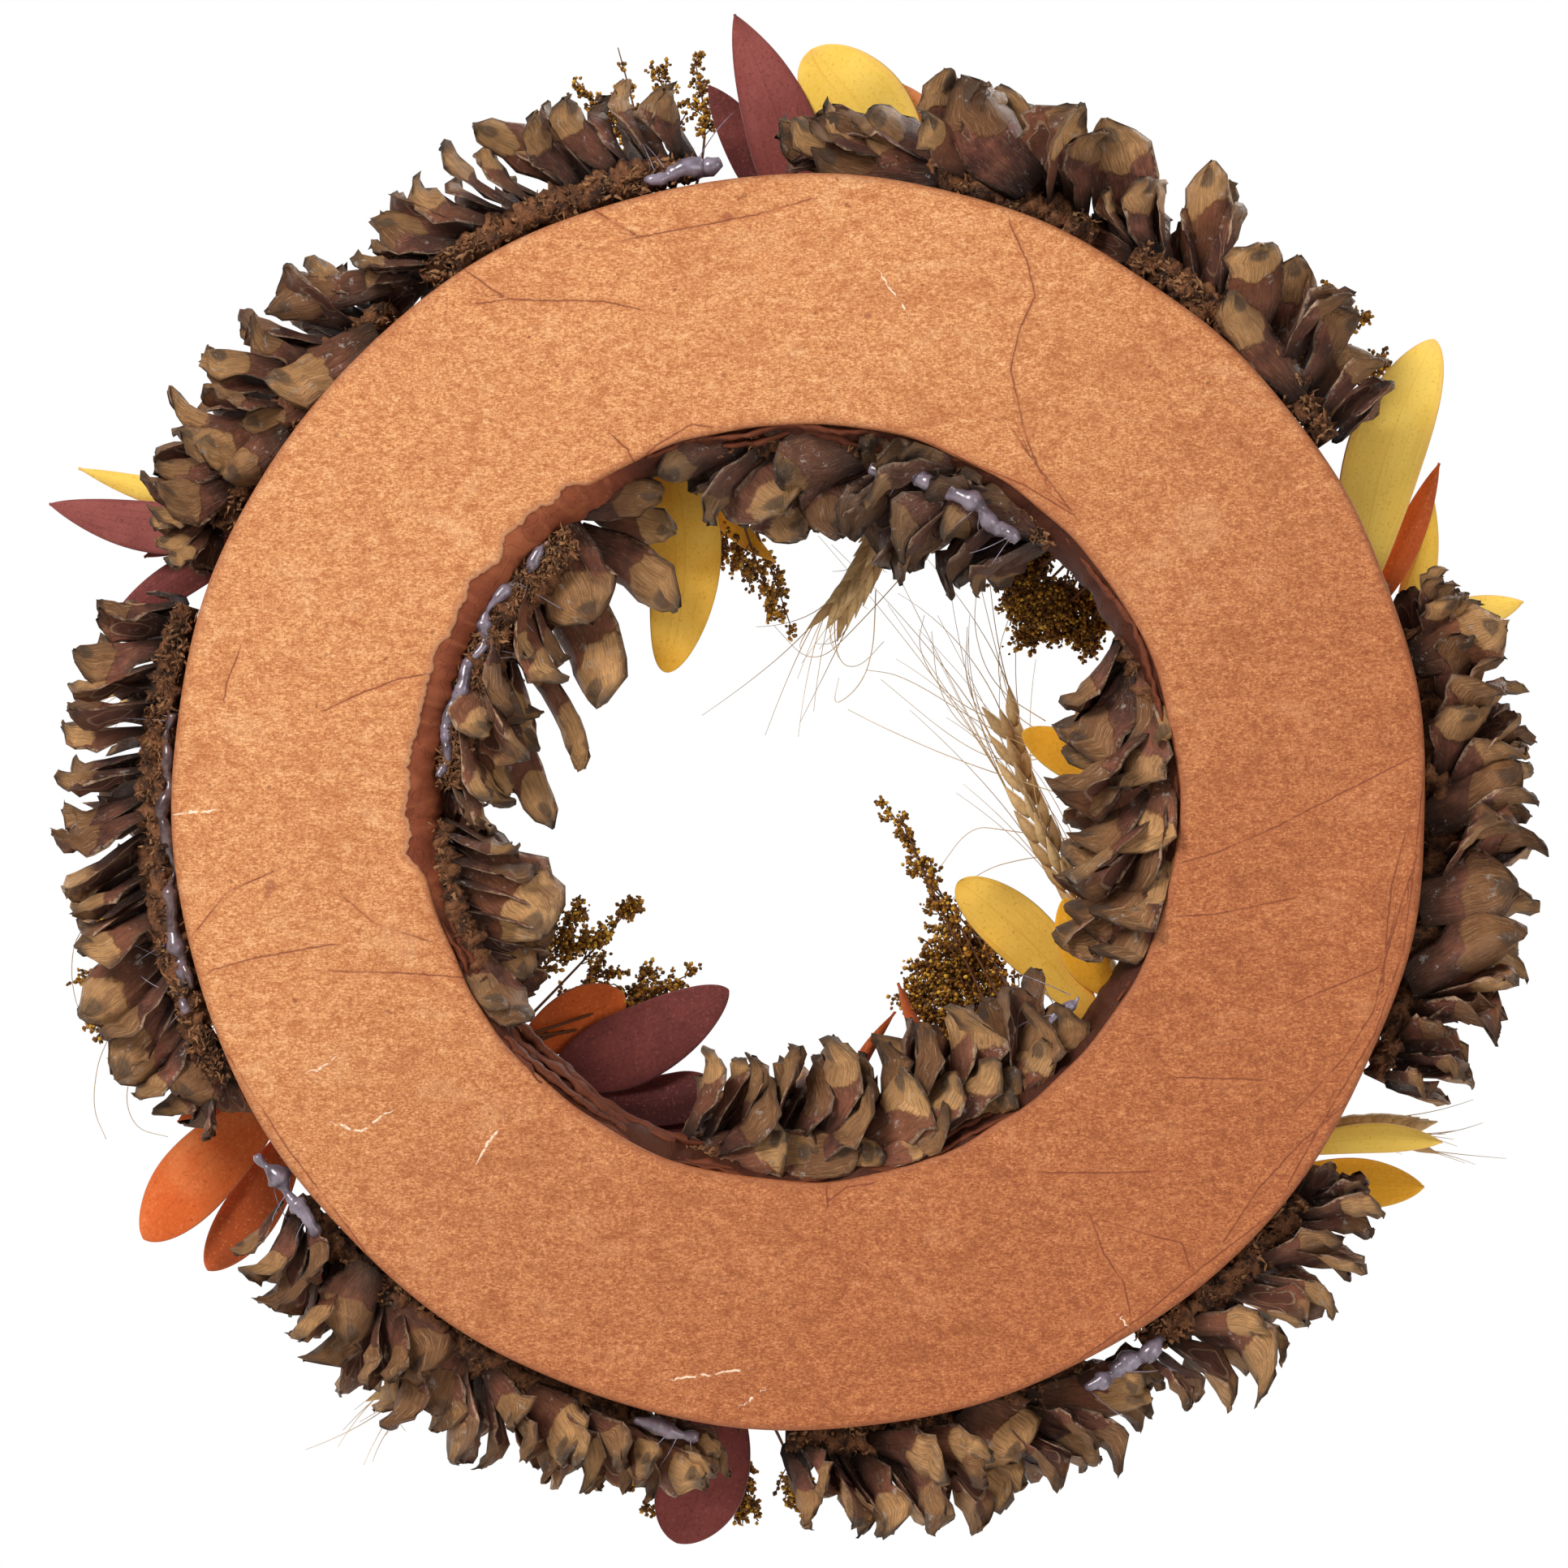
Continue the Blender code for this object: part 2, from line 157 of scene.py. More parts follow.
def makePiece(name, tubes, finish, slot, replaced=()):
    # one mesh object of many tubes: corners, faces and attributes are joined, each tube after the last
    corners, attributes, indexes, totals, offset = [], {}, [], [], 0
    names = sorted({key for part in tubes for key in part["attributes"]})
    for part in tubes:
        count, rows, sides = part["points"].shape[:3]
        quads, caps = tubeFaces(count, rows, sides, part["looped"])
        corners.append(part["points"].reshape(-1, 3))
        for key in names:
            value = part["attributes"].get(key, np.zeros((count, rows, sides), np.float32))
            attributes.setdefault(key, []).append(value.reshape(-1))
        for faces in (quads, caps):
            indexes.append((faces + offset).reshape(-1))
            totals.append(np.full(len(faces), faces.shape[1]))
        offset += count * rows * sides
    corners, indexes, totals = map(np.concatenate, (corners, indexes, totals))
    mesh = bpy.data.meshes.new(name)
    mesh.vertices.add(len(corners))
    mesh.vertices.foreach_set("co", corners.astype(np.float32).reshape(-1))
    mesh.loops.add(len(indexes))
    mesh.loops.foreach_set("vertex_index", indexes.astype(np.int32))
    mesh.polygons.add(len(totals))
    mesh.polygons.foreach_set("loop_start", (np.cumsum(totals) - totals).astype(np.int32))
    mesh.polygons.foreach_set("loop_total", totals.astype(np.int32))
    mesh.polygons.foreach_set("use_smooth", np.ones(len(totals), bool))
    mesh.update(calc_edges=True)
    for key, value in attributes.items():
        layer = mesh.attributes.new(key, "FLOAT", "POINT")
        layer.data.foreach_set("value", np.concatenate(value))
    piece = bpy.data.objects.new(name, mesh)
    bpy.context.scene.collection.objects.link(piece)
    mesh.materials.append(finish)
    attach(piece, "root")
    if replaced:
        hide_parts(*replaced)
    return piece


def sweep(path, radius, sides=8, squash=1.0, side=None):
    # rings round a path [tube, row, xyz]: centre + side * r cos(a) + up * r sin(a), up square to both
    if path.ndim == 2:
        path = path[None]
    ahead = unit(np.gradient(path, axis=1))
    if side is None:
        side = np.array([0.31, 0.17, 0.93])
    side = np.broadcast_to(side, path.shape)
    up = unit(np.cross(side, ahead))
    side = unit(np.cross(ahead, up))
    turn = np.linspace(0, 2 * np.pi, sides, endpoint=False)
    radius = np.broadcast_to(radius, path.shape[:2])[..., None, None]
    return (path[:, :, None] + side[:, :, None] * radius * np.cos(turn)[:, None]
            + up[:, :, None] * radius * squash * np.sin(turn)[:, None])



# an output socket that can stand in sums: each operator adds its Math node
class Wire:
    def __init__(self, tree, socket=None):
        self.tree, self.socket = tree, socket

    def node(self, kind, settings=None, sockets=None, out=0):
        made = self.tree.nodes.new("ShaderNode" + kind)
        for key, value in (settings or {}).items():
            if key == "stops":
                stops = made.color_ramp.elements
                for extra in range(len(value) - 2):
                    stops.new(0.5)
                for stop, (place, colour) in zip(stops, value):
                    stop.position, stop.color = place, colour
            else:
                setattr(made, key, value)
        for key, value in (sockets or {}).items():
            if isinstance(value, Wire):
                self.tree.links.new(value.socket, made.inputs[key])
            else:
                made.inputs[key].default_value = value
        return Wire(self.tree, made.outputs[out])

    def maths(self, operation, *values):
        return self.node("Math", {"operation": operation}, dict(enumerate(values)))

    def __add__(self, other):
        return self.maths("ADD", self, other)

    def __sub__(self, other):
        return self.maths("SUBTRACT", self, other)

    def __mul__(self, other):
        return self.maths("MULTIPLY", self, other)

    def __truediv__(self, other):
        return self.maths("DIVIDE", self, other)

    def __rsub__(self, other):
        return self.maths("SUBTRACT", other, self)

    __radd__, __rmul__ = __add__, __mul__

    def between(self, low, high, bottom=0.0, top=1.0):
        # smooth step: bottom up to low, top from high on
        return self.node("MapRange", {"interpolation_type": "SMOOTHSTEP"},
                         {"Value": self, "From Min": low, "From Max": high, "To Min": bottom,
                          "To Max": top})

    def blend(self, first, second):
        # the first colour where this is 0, the second where it is 1
        return self.node("Mix", {"data_type": "RGBA"}, {0: self, 6: first, 7: second}, 2)

    def noise(self, place, scale, detail=3.0, rough=0.55, distortion=0.0):
        return self.node("TexNoise", {}, {"Vector": place, "Scale": scale, "Detail": detail,
                                          "Roughness": rough,
                                          "Distortion": distortion})

    def attribute(self, name):
        return self.node("Attribute", {"attribute_name": name}, {}, 2)

    def objectPlace(self, scale=(1, 1, 1), turn=(0, 0, 0)):
        place = self.node("TexCoord", {}, {}, 3)
        return self.node("Mapping", {}, {"Vector": place, "Rotation": turn, "Scale": scale})

    def pack(self, x, y, z=0.0):
        return self.node("CombineXYZ", {}, {0: x, 1: y, 2: z})

    def apart(self, place, axis):
        return self.node("SeparateXYZ", {}, {0: place}, axis)


def colour(red, green, blue):
    # screen values 0-255 made linear, with full alpha
    share = np.array([red, green, blue]) / 255
    linear = np.where(share <= 0.04045, share / 12.92, ((share + 0.055) / 1.055) ** 2.4)
    return (*linear.tolist(), 1.0)


def newFinish(name, recipe, **constants):
    # a material: the recipe gets a Wire and returns what to plug into the shader's sockets
    made = bpy.data.materials.new(name)
    made.use_nodes = True
    tree = made.node_tree
    shader = tree.nodes["Principled BSDF"]
    for key, value in constants.items():
        shader.inputs[key.replace("_", " ")].default_value = value
    plugs = recipe(Wire(tree))
    bump = plugs.pop("bump", None)
    if bump:
        height, strength, distance = bump
        plugs["Normal"] = Wire(tree).node("Bump", {},
                                          {"Height": height, "Strength": strength, "Distance": distance})
    for key, value in plugs.items():
        tree.links.new(value.socket, shader.inputs[key])
    return made

studio = {
    "cameraPlace": (-3.45 * mm, -1.3, centre[2] + 4 * mm), "lens": 133.25,
    "floorBelow": 0.25, "floorRadius": 1.7,
    "worldLight": 0.30,
    # each light: place from the ring's centre, width in metres, power in watts, colour
    "lights": {
        "keyLight": ((-1.0, -1.25, 1.05), 0.9, 34, (1.0, 0.985, 0.96)),
        "fillLight": ((1.3, -1.5, -0.1), 1.4, 13, (1.0, 0.985, 0.97)),
        "frontKeyLight": ((0.9, 1.3, 1.0), 0.9, 22, (1.0, 0.985, 0.96)),
        "frontFillLight": ((-1.3, 1.4, -0.1), 1.4, 9, (1.0, 0.985, 0.97)),
    },
}


def makeStudio():
    # the camera behind the wreath, four soft round lights, a pale world and the floor
    scene = bpy.context.scene
    scene.view_settings.view_transform = "Standard"
    camera = bpy.data.objects.new("camera", bpy.data.cameras.new("camera"))
    camera.data.lens, camera.data.sensor_width = studio["lens"], 36
    camera.data.clip_start, camera.data.clip_end = 0.05, 20
    camera.location, camera.rotation_euler = studio["cameraPlace"], (np.pi / 2, 0, 0)
    scene.collection.objects.link(camera)
    scene.camera = camera
    for name, (place, width, power, tint) in studio["lights"].items():
        light = bpy.data.lights.new(name, "AREA")
        light.shape, light.size, light.energy, light.color = "DISK", width, power, tint
        lamp = bpy.data.objects.new(name, light)
        lamp.location = Vector(place) + Vector(centre.tolist())
        lamp.rotation_euler = (-Vector(place)).to_track_quat("-Z", "Y").to_euler()
        scene.collection.objects.link(lamp)
    world = bpy.data.worlds.new("studioWorld")
    scene.world = world
    world.use_nodes = True
    seen = Wire(world.node_tree).node("LightPath")      # white where the camera sees it, softer as a light
    strength = seen.between(0.0, 1.0, studio["worldLight"], 1.0)
    world.node_tree.links.new(strength.socket, world.node_tree.nodes["Background"].inputs["Strength"])
    world.node_tree.nodes["Background"].inputs["Color"].default_value = (1, 1, 1, 1)

    # the floor is a flat disc: a fan of points round a circle
    turn = np.linspace(0, 2 * np.pi, 96, endpoint=False)
    height = cadBox[0][2] - studio["floorBelow"]
    rim = np.stack([studio["floorRadius"] * np.cos(turn), studio["floorRadius"] * np.sin(turn), turn * 0
                    + height], 1)
    mesh = bpy.data.meshes.new("floor")
    mesh.from_pydata(rim.tolist(), [], [list(range(96))])
    floor = bpy.data.objects.new("floor", mesh)
    scene.collection.objects.link(floor)

    def floorPaint(wire):
        cloud = wire.noise(wire.objectPlace(), 3.0)
        return {"Base Color": cloud.blend((0.80, 0.80, 0.79, 1), (0.84, 0.84, 0.83, 1))}

    mesh.materials.append(newFinish("floorPaint", floorPaint, Roughness=0.8))


makeStudio()
print("studio ready")

sheet = {
    "around": 720, "thickness": 0.55 * mm, "creaseLift": 0.2 * mm, "waviness": 0.16 * mm,
         "outerCorner": 1.5 * mm,
    "innerCorner": 0.9 * mm, "innerOverhang": 3.0 * mm, "innerHem": 1.9 * mm, "wobble": 0.35 * mm,
    "tornFrom": 122, "tornTo": 192, "tornEdge": -0.6 * mm,
    # creases and scuffs as (angle in degrees, distance in mm) from the ring's centre
    "creases": [
        [(108, 132), (100, 131), (94, 132), (89, 135)],
        [(122, 140), (121, 134), (120, 130), (117, 126), (114, 123), (111, 120), (108, 116)],
        [(123, 133), (120, 130)], [(109, 140), (108, 137), (106, 132)],
        [(70, 138), (67, 131), (65, 125), (65, 117), (64, 108), (58, 96), (52, 90)],
        [(169, 108), (166, 101), (163, 94), (161, 88)], [(170, 131), (168, 131), (165, 130)],
        [(192, 138), (189, 130), (188, 122), (187, 115)], [(196, 137), (196, 127), (197, 109)],
        [(200, 111), (203, 98), (208, 84)], [(192, 104), (196, 99), (201, 88), (205, 85)],
        [(351, 87), (353, 94), (357, 107), (361, 122), (364, 137)], [(343, 88), (345, 97), (349, 113)],
        [(338, 120), (344, 135)], [(355, 139), (351, 137), (345, 136), (340, 137), (335, 135), (328, 131)],
        [(303, 99), (309, 107), (316, 119)], [(305, 114), (304, 122), (304, 130), (303, 136)],
        [(306, 116), (309, 125), (311, 131), (310, 136)], [(324, 105), (329, 121)],
        [(274, 87), (274, 91)], [(274, 90), (277, 87), (281, 87)],
        [(116, 84), (112, 86), (106, 88), (103, 86)], [(117, 92), (116, 88), (116, 84)],
        [(60, 96), (56, 93), (46, 89)], [(72, 86), (63, 85), (55, 87), (46, 89)],
        [(362, 140), (354, 138.5), (346, 139.5), (338, 139), (330, 137.5), (322, 139)],
        [(357, 136), (352, 134), (347, 135), (342, 137.5)],
                [(331, 140), (326, 136), (320, 134.5), (314, 137)],
        [(318, 140), (311, 138), (304, 138.5), (296, 140)], [(226, 140), (214, 138.5), (204, 140)],
    ],
    "scuffs": [
        [(81, 119), (78, 113)], [(209, 124), (209, 120)], [(215, 126), (217, 123), (217, 116)],
        [(228, 107), (227, 96)], [(258, 132), (261, 130), (264, 128)], [(265, 135), (266, 133)],
        [(302, 137), (302, 138)], [(181, 139), (181, 132)],
    ],
    "spots": [(82, 110, 1.6), (97, 132, 2.2), (100, 97, 1.3), (129, 110, 1.1), (189, 120, 2.6),
              (190, 121, 1.4)],
}


def nearest(x, z, lines):
    # distance from every point to the nearest stretch of the lines, and the same with a sign for its side
    best, signed = np.full(x.shape, 1.0), np.full(x.shape, 1.0)
    for line in lines:
        line = np.array(line, float)
        places = around(line[:, 0], line[:, 1] * mm, 0)[:, [0, 2]]
        for start, end in zip(places[:-1], places[1:]):
            step = end - start
            share = np.clip(((x - start[0]) * step[0] + (z - start[1]) * step[1]) / (step @ step), 0, 1)
            offX, offZ = x - start[0] - share * step[0], z - start[1] - share * step[1]
            distance = np.hypot(offX, offZ)
            closer = distance < best
            best = np.where(closer, distance, best)
            signed = np.where(closer, distance * np.sign(step[0] * offZ - step[1] * offX), signed)
    return best, signed


def sheetProfile():
    # (distance, depth) across the sheet: inner hem, a quarter circle, the flat, a quarter circle, outer hem
    size, quarter = sheet, np.linspace(0, np.pi / 2, 7)
    inner, outer = ring["flatInner"] - size["innerOverhang"], ring["hemOuter"]
    small, large = size["innerCorner"], size["outerCorner"]
    flat = np.linspace(inner + small, outer - large, 92)[1:-1]
    radius = np.concatenate([[inner] * 2, inner + small * (1 - np.cos(quarter)), flat,
                             outer - large * (1 - np.sin(quarter)), [outer] * 4])
    depth = np.concatenate([[size["innerHem"], (size["innerHem"] + small) / 2],
                            small * (1 - np.sin(quarter)), flat * 0,
                            large * (1 - np.cos(quarter)), np.linspace(large, ring["hemDepth"], 5)[1:]])
    return radius[None], depth[None]


def makeSheet():
    # a closed loop of points turned round the ring: the sheet's face, lifted by creases and waves, and its back
    size, thickness = sheet, sheet["thickness"]
    angle = np.linspace(0, 360, size["around"], endpoint=False)[:, None]
    radius, depth = sheetProfile()
    # where the inner hem is torn away the sheet ends in a ragged edge further out
    edge = np.clip((angle - size["tornFrom"]) / 5, 0, 1) * np.clip((size["tornTo"] - angle) / 5, 0, 1)
    edge = edge * edge * (3 - 2 * edge)
    place = around(angle, 0.1, 0)
    ragged = 0.7 * mm * waves(place, 9 * mm, 5) + 0.3 * mm * waves(place, 2.5 * mm, 6)
    pushed = edge * (ring["flatInner"] + size["tornEdge"] + ragged - radius[:, :1])
    pushed = pushed + size["wobble"] * waves(place, 30 * mm, 8)
    share = np.clip((radius - radius[:, :1]) / (radius[:, -1:] - radius[:, :1]), 0, 1)
    radius = radius + pushed * (1 - share) ** 3 + size["wobble"] * waves(place, 45 * mm, 9) * share ** 3
    depth = depth + 0 * angle
    x, z = centre[0] + radius * np.cos(np.radians(angle)), centre[2] + radius * np.sin(np.radians(angle))
    near, signed = nearest(x, z, size["creases"])
    scuffNear, scuffSigned = nearest(x, z, size["scuffs"])
    spot = np.zeros(x.shape)
    for spotAngle, spotRadius, spotSize in size["spots"]:
        place = around(spotAngle, spotRadius * mm, 0)
        spot = np.maximum(spot, 1 - np.hypot(x - place[0], z - place[2]) / (spotSize * mm))
    surface = np.stack([x, 0 * x, z], -1)
    lift = size["creaseLift"] * np.exp(-(near / (0.8 * mm)) ** 2) * np.sign(np.sin(angle * 0.35))
    slope = np.clip(signed / (1.5 * mm), -1, 1)
    lift = lift + size["creaseLift"] * 0.9 * np.exp(-np.abs(near) / (4 * mm)) * slope
    lift = lift + size["waviness"] * waves(surface, 38 * mm, 3) + 0.06 * mm * waves(surface, 7 * mm, 4)
    outerFace = depth + 0.42 * mm + lift
    rim = 1 - np.clip(np.minimum(radius - radius.min(1, keepdims=True), radius.max(1, keepdims=True)
                                 - radius)
                      / (3.5 * mm), 0, 1)
    # the back of the paper follows its face, one thickness in, on a coarser row of points
    coarse = np.unique(np.linspace(0, radius.shape[1] - 1, 26).astype(int))[::-1]
    across = np.gradient(radius, axis=1), np.gradient(depth, axis=1)
    length = np.hypot(*across)
    innerRadius = (radius - across[1] / length * thickness)[:, coarse]
    innerDepth = (outerFace + across[0] / length * thickness)[:, coarse]
    loop = np.concatenate([radius, innerRadius], 1), np.concatenate([outerFace, innerDepth], 1)
    attributes = {
        "creaseSigned": np.clip(signed, -3 * mm, 3 * mm),
                  "creaseNear": np.clip(1.6 - near / (2 * mm), 0, 1),
        "scuffSigned": np.clip(scuffSigned, -3 * mm, 3 * mm),
                  "scuffNear": np.clip(1.6 - scuffNear / (2 * mm), 0, 1),
        "spot": np.clip(spot, 0, 1), "rim": rim,
        "torn": np.clip(1 - (radius - radius[:, :1]) / (0.9 * mm), 0, 1) * edge,
    }
    attributes = {key: np.concatenate([value, value[:, coarse]], 1) for key, value in attributes.items()}
    part = tube(around(angle, *loop), looped=True, **attributes)
    makePiece("paperBack", [part], paperFinish(), "paper", ["back_sheet"])


def paperFinish():
    def recipe(wire):
        place = wire.objectPlace()
        fibres = wire.noise(wire.objectPlace((1300, 1300, 2700)), 1.0, 5, 0.82, 0.3)
        blots = wire.noise(wire.objectPlace((280, 280, 500)), 1.0, 5, 0.76)
        clouds = wire.noise(place, 9.0, 3, 0.5)
        across, up = wire.apart(place, 0), wire.apart(place, 2) - float(centre[2])
        # partly the paper's own tint and partly painted shade: darker and redder towards the lower right, away
        # from the key light
        tintAndShade = ((across - up) * 3.1 + clouds * 0.5 - 0.25 + 0.42).between(0.0, 1.0)
        base = tintAndShade.blend(colour(218, 152, 96), colour(182, 107, 61))
        dark = tintAndShade.blend(colour(160, 86, 42), colour(128, 62, 30))
        light = tintAndShade.blend(colour(250, 206, 156), colour(226, 158, 106))
        mottled = fibres.between(0.34, 0.58).blend(dark, base)
        mottled = (fibres.between(0.50, 0.70) * 0.75).blend(mottled, light)
        mottled = (blots.between(0.46, 0.66) * 0.5).blend(mottled, dark)
        mottled = (blots.between(0.30, 0.44, 1.0, 0.0) * 0.35).blend(mottled, light)
        stains = wire.noise(wire.objectPlace((60, 60, 95)), 1.0, 5, 0.68, 0.8)
        mottled = (stains.between(0.50, 0.68) * 0.32).blend(mottled, dark)
        mottled = (stains.between(0.30, 0.46, 1.0, 0.0) * 0.2).blend(mottled, light)
        weave = wire.noise(wire.objectPlace((2300, 2300, 700)), 1.0, 3, 0.6)
        mottled = (weave.between(0.50, 0.68) * 0.4).blend(mottled, dark)
        specks = wire.noise(wire.objectPlace((420, 420, 520)), 1.0, 1, 0.5).between(0.74, 0.79)
        mottled = (specks * 0.6).blend(mottled, colour(120, 62, 34))
        rim = wire.attribute("rim")
        worn = (rim * 1.15 - 0.25 + clouds * 0.3 - 0.12).between(0.12, 0.95)
        mottled = (worn * 0.6).blend(mottled, colour(144, 80, 48))
        # the creases: a thin dark line and a soft darker band beside it, partly the crease's own mark and partly
        # painted shade in the fold
        wander = (wire.noise(place, 700.0, 2) - 0.5) * 0.0006
        crease = wire.maths("ABSOLUTE", wire.attribute("creaseSigned") + wander)
        faded = wire.noise(place, 90.0, 2).between(0.28, 0.52)
        near = wire.attribute("creaseNear")
        line = crease.between(0.00004, 0.00032, 1.0, 0.0) * near * faded
        creaseShadeBand = crease.between(0.0003, 0.0012, 1.0, 0.0) * near
        mottled = (creaseShadeBand * 0.28).blend(mottled, colour(176, 100, 58))
        mottled = (line * 0.78).blend(mottled, colour(112, 52, 30))
        scuffWander = (wire.noise(place, 500.0, 2) - 0.5) * 0.0016
        scuff = wire.maths("ABSOLUTE", wire.attribute("scuffSigned") + scuffWander)
        scuff = scuff.between(0.0001, 0.0004, 1.0, 0.0)
        scuff = scuff * wire.attribute("scuffNear") * wire.noise(place, 420.0, 2).between(0.42, 0.56)
        mottled = (scuff * 0.85).blend(mottled, colour(248, 224, 196))
        spot = (wire.attribute("spot") + fibres * 0.5 - 0.35).between(0.2, 0.5)
        mottled = (spot * 0.55).blend(mottled, colour(140, 70, 44))
        mottled = (wire.attribute("torn") * 0.7).blend(mottled, colour(226, 170, 128))
        height = fibres * 0.6 + blots * 0.5 - line * 1.4 + scuff * 0.6
        return {"Base Color": mottled, "Roughness": fibres * 0.2 + 0.62 - worn * 0.12,
                "bump": (height, 0.30, 0.0003)}

    return newFinish("kraftPaper", recipe, Specular_IOR_Level=0.32)


wrap = {"around": 480, "outline": 62, "thickness": 0.8 * mm, "seam": 12 * mm, "wrinkle": 0.8 * mm,
        "inset": 1.1 * mm}


def ringOutline(count, inset=0.0, seam=0.0):
    # the ring's section from one side of the seam in the flat back, over the front, to the other side:
    # flat, shoulder (quarter of an oval), front (half an oval), shoulder, flat, spread evenly by length
    half, widest = (ring["outer"] - ring["inner"]) / 2, ring["widest"]
    shoulderWidth = ring["outer"] - ring["flatOuter"]
    quarter = np.linspace(0, np.pi / 2, 60)
    radius = [np.linspace(seam / 2, half - shoulderWidth, 40),
              half - shoulderWidth + shoulderWidth * np.sin(quarter),
              half * np.cos(quarter)]
    depth = [np.zeros(40), widest * (1 - np.cos(quarter)), widest
             + (ring["front"] - widest) * np.sin(quarter)]
    radius, depth = np.concatenate(radius), np.concatenate(depth)
    radius, depth = np.concatenate([radius, -radius[::-1]]), np.concatenate([depth, depth[::-1]])
    outward = unit(np.stack([-np.gradient(depth), np.gradient(radius)], -1))
    outward *= np.sign((outward * np.stack([radius, depth - widest], -1)).sum(-1, keepdims=True))
    radius, depth = radius - inset * outward[:, 0], depth - inset * outward[:, 1]
    length = np.concatenate([[0], np.cumsum(np.hypot(np.diff(radius), np.diff(depth)))])
    spots = np.linspace(0, length[-1], count)
    return [np.interp(spots, length, value) for value in (radius, depth, outward[:, 0], outward[:, 1])]


def makeWrap():
    # the ring's outline turned round the ring, pushed out by folds, with its inner side one thickness in
    size = wrap
    angle = np.linspace(0, 360, size["around"], endpoint=False)[:, None]
    outline = ringOutline(size["outline"], size["inset"], size["seam"])
    radius, depth, outX, outY = [value[None] for value in outline]
    surface = around(angle, ring["middle"] + radius, depth)
    # folds run across the ring, so the wander is stretched across the section
    stretched = np.stack(np.broadcast_arrays(np.radians(angle) * ring["middle"], depth * 0.3, radius * 0.3),
                         -1)
    folds = 1 - np.abs(waves(stretched, 16 * mm, 11)) * 1.6
    folds = np.maximum(folds, 0.8 - np.abs(waves(stretched + 0.3, 9 * mm, 12)) * 1.5)
    strength = np.clip(depth / (5 * mm), 0, 1)
    push = size["wrinkle"] * strength * (folds + 0.5 * waves(surface, 12 * mm, 13)
                                         + 0.25 * waves(surface, 4 * mm, 14))
    push = np.clip(push, -0.1 * mm, 1.6 * mm)
    outer = ring["middle"] + radius + outX * push, depth + outY * push
    inner = (outer[0] - outX * size["thickness"])[:, ::-2], (outer[1] - outY * size["thickness"])[:, ::-2]
    loop = np.concatenate([outer[0], inner[0]], 1), np.concatenate([outer[1], inner[1]], 1)
    # the fold value is high on the fold crests, where the finish paints a highlight
    fold = np.concatenate([folds, folds[:, ::-2]], 1)
    # painted shade: the wrap's colour is darkened almost to black-brown except on the strip bared by the torn
    # sheet and, in part, on the front
    bare = (np.clip((angle - sheet["tornFrom"] + 8) / 8, 0, 1)
            * np.clip((sheet["tornTo"] + 8 - angle) / 8, 0, 1))
    bare = np.maximum(bare * (loop[0] < ring["middle"]),
                      0.62 * np.clip((loop[1] - 13 * mm) / (14 * mm), 0, 1))
    part = tube(around(angle, *loop), looped=True, fold=fold, bare=bare)
    makePiece("paperWrap", [part], wrapPaper, "wrap", ["ring_wrap"])


def wrapFinish():
    def recipe(wire):
        place = wire.objectPlace()
        fibres = wire.noise(wire.objectPlace((620, 620, 1500)), 1.0, 4, 0.62, 0.3)
        clouds = wire.noise(place, 45.0, 4, 0.6, 0.8)
        base = clouds.between(0.3, 0.7).blend(colour(108, 48, 28), colour(148, 78, 48))
        base = (fibres.between(0.45, 0.65) * 0.5).blend(base, colour(122, 60, 36))
        # painted highlight: paler on the crests of the folds
        base = (wire.attribute("fold").between(0.5, 1.0) * 0.4).blend(base, colour(168, 98, 62))
        # thin crease lines, sunk by the bump and darkened: partly the paper's own crease marks, partly painted
        # shade in the grooves
        creases = wire.maths("ABSOLUTE", wire.noise(place, 130.0, 3, 0.5, 1.2) - 0.5)
        creases = creases.between(0.0, 0.02, 1.0, 0.0)
        base = (creases * 0.2).blend(base, colour(84, 40, 27))
        # painted shade: darkened towards (44, 18, 9) except on the torn strip and the front
        base = (wire.attribute("bare").between(0.0, 0.9, 0.82, 0.0)).blend(base, colour(44, 18, 9))
        height = clouds * 0.6 - creases * 0.5 + fibres * 0.3
        return {"Base Color": base, "Roughness": fibres * 0.2 + 0.6, "bump": (height, 0.5, 0.0006)}

    return newFinish("wrapPaper", recipe, Specular_IOR_Level=0.22)


def strawFinish():
    def recipe(wire):
        straws = wire.noise(wire.objectPlace((260, 900, 260)), 1.0, 4, 0.6)
        base = straws.between(0.35, 0.65).blend(colour(120, 84, 46), colour(196, 158, 100))
        return {"Base Color": base, "Roughness": straws * 0.3 + 0.6, "bump": (straws, 0.5, 0.0008)}

    return newFinish("boundStraw", recipe)


wrapPaper = wrapFinish()

# loose folds of the wrap along the hole: start and end angle, mm out from the hole's edge, depth, thickness
looseFolds = [(188, 254, 5.2, 2.6, 1.3), (192, 260, 3.6, 4.6, 1.5), (197, 250, 1.8, 7.6, 1.9),
              (204, 257, 0.6, 10.0, 2.2), (62, 114, 4.2, 3.2, 1.3), (72, 102, 2.0, 6.0, 1.6),
              (252, 312, 4.8, 3.0, 1.2), (262, 306, 2.8, 6.0, 1.6), (328, 372, 4.6, 3.4, 1.1),
              (8, 54, 4.4, 3.6, 1.2)]


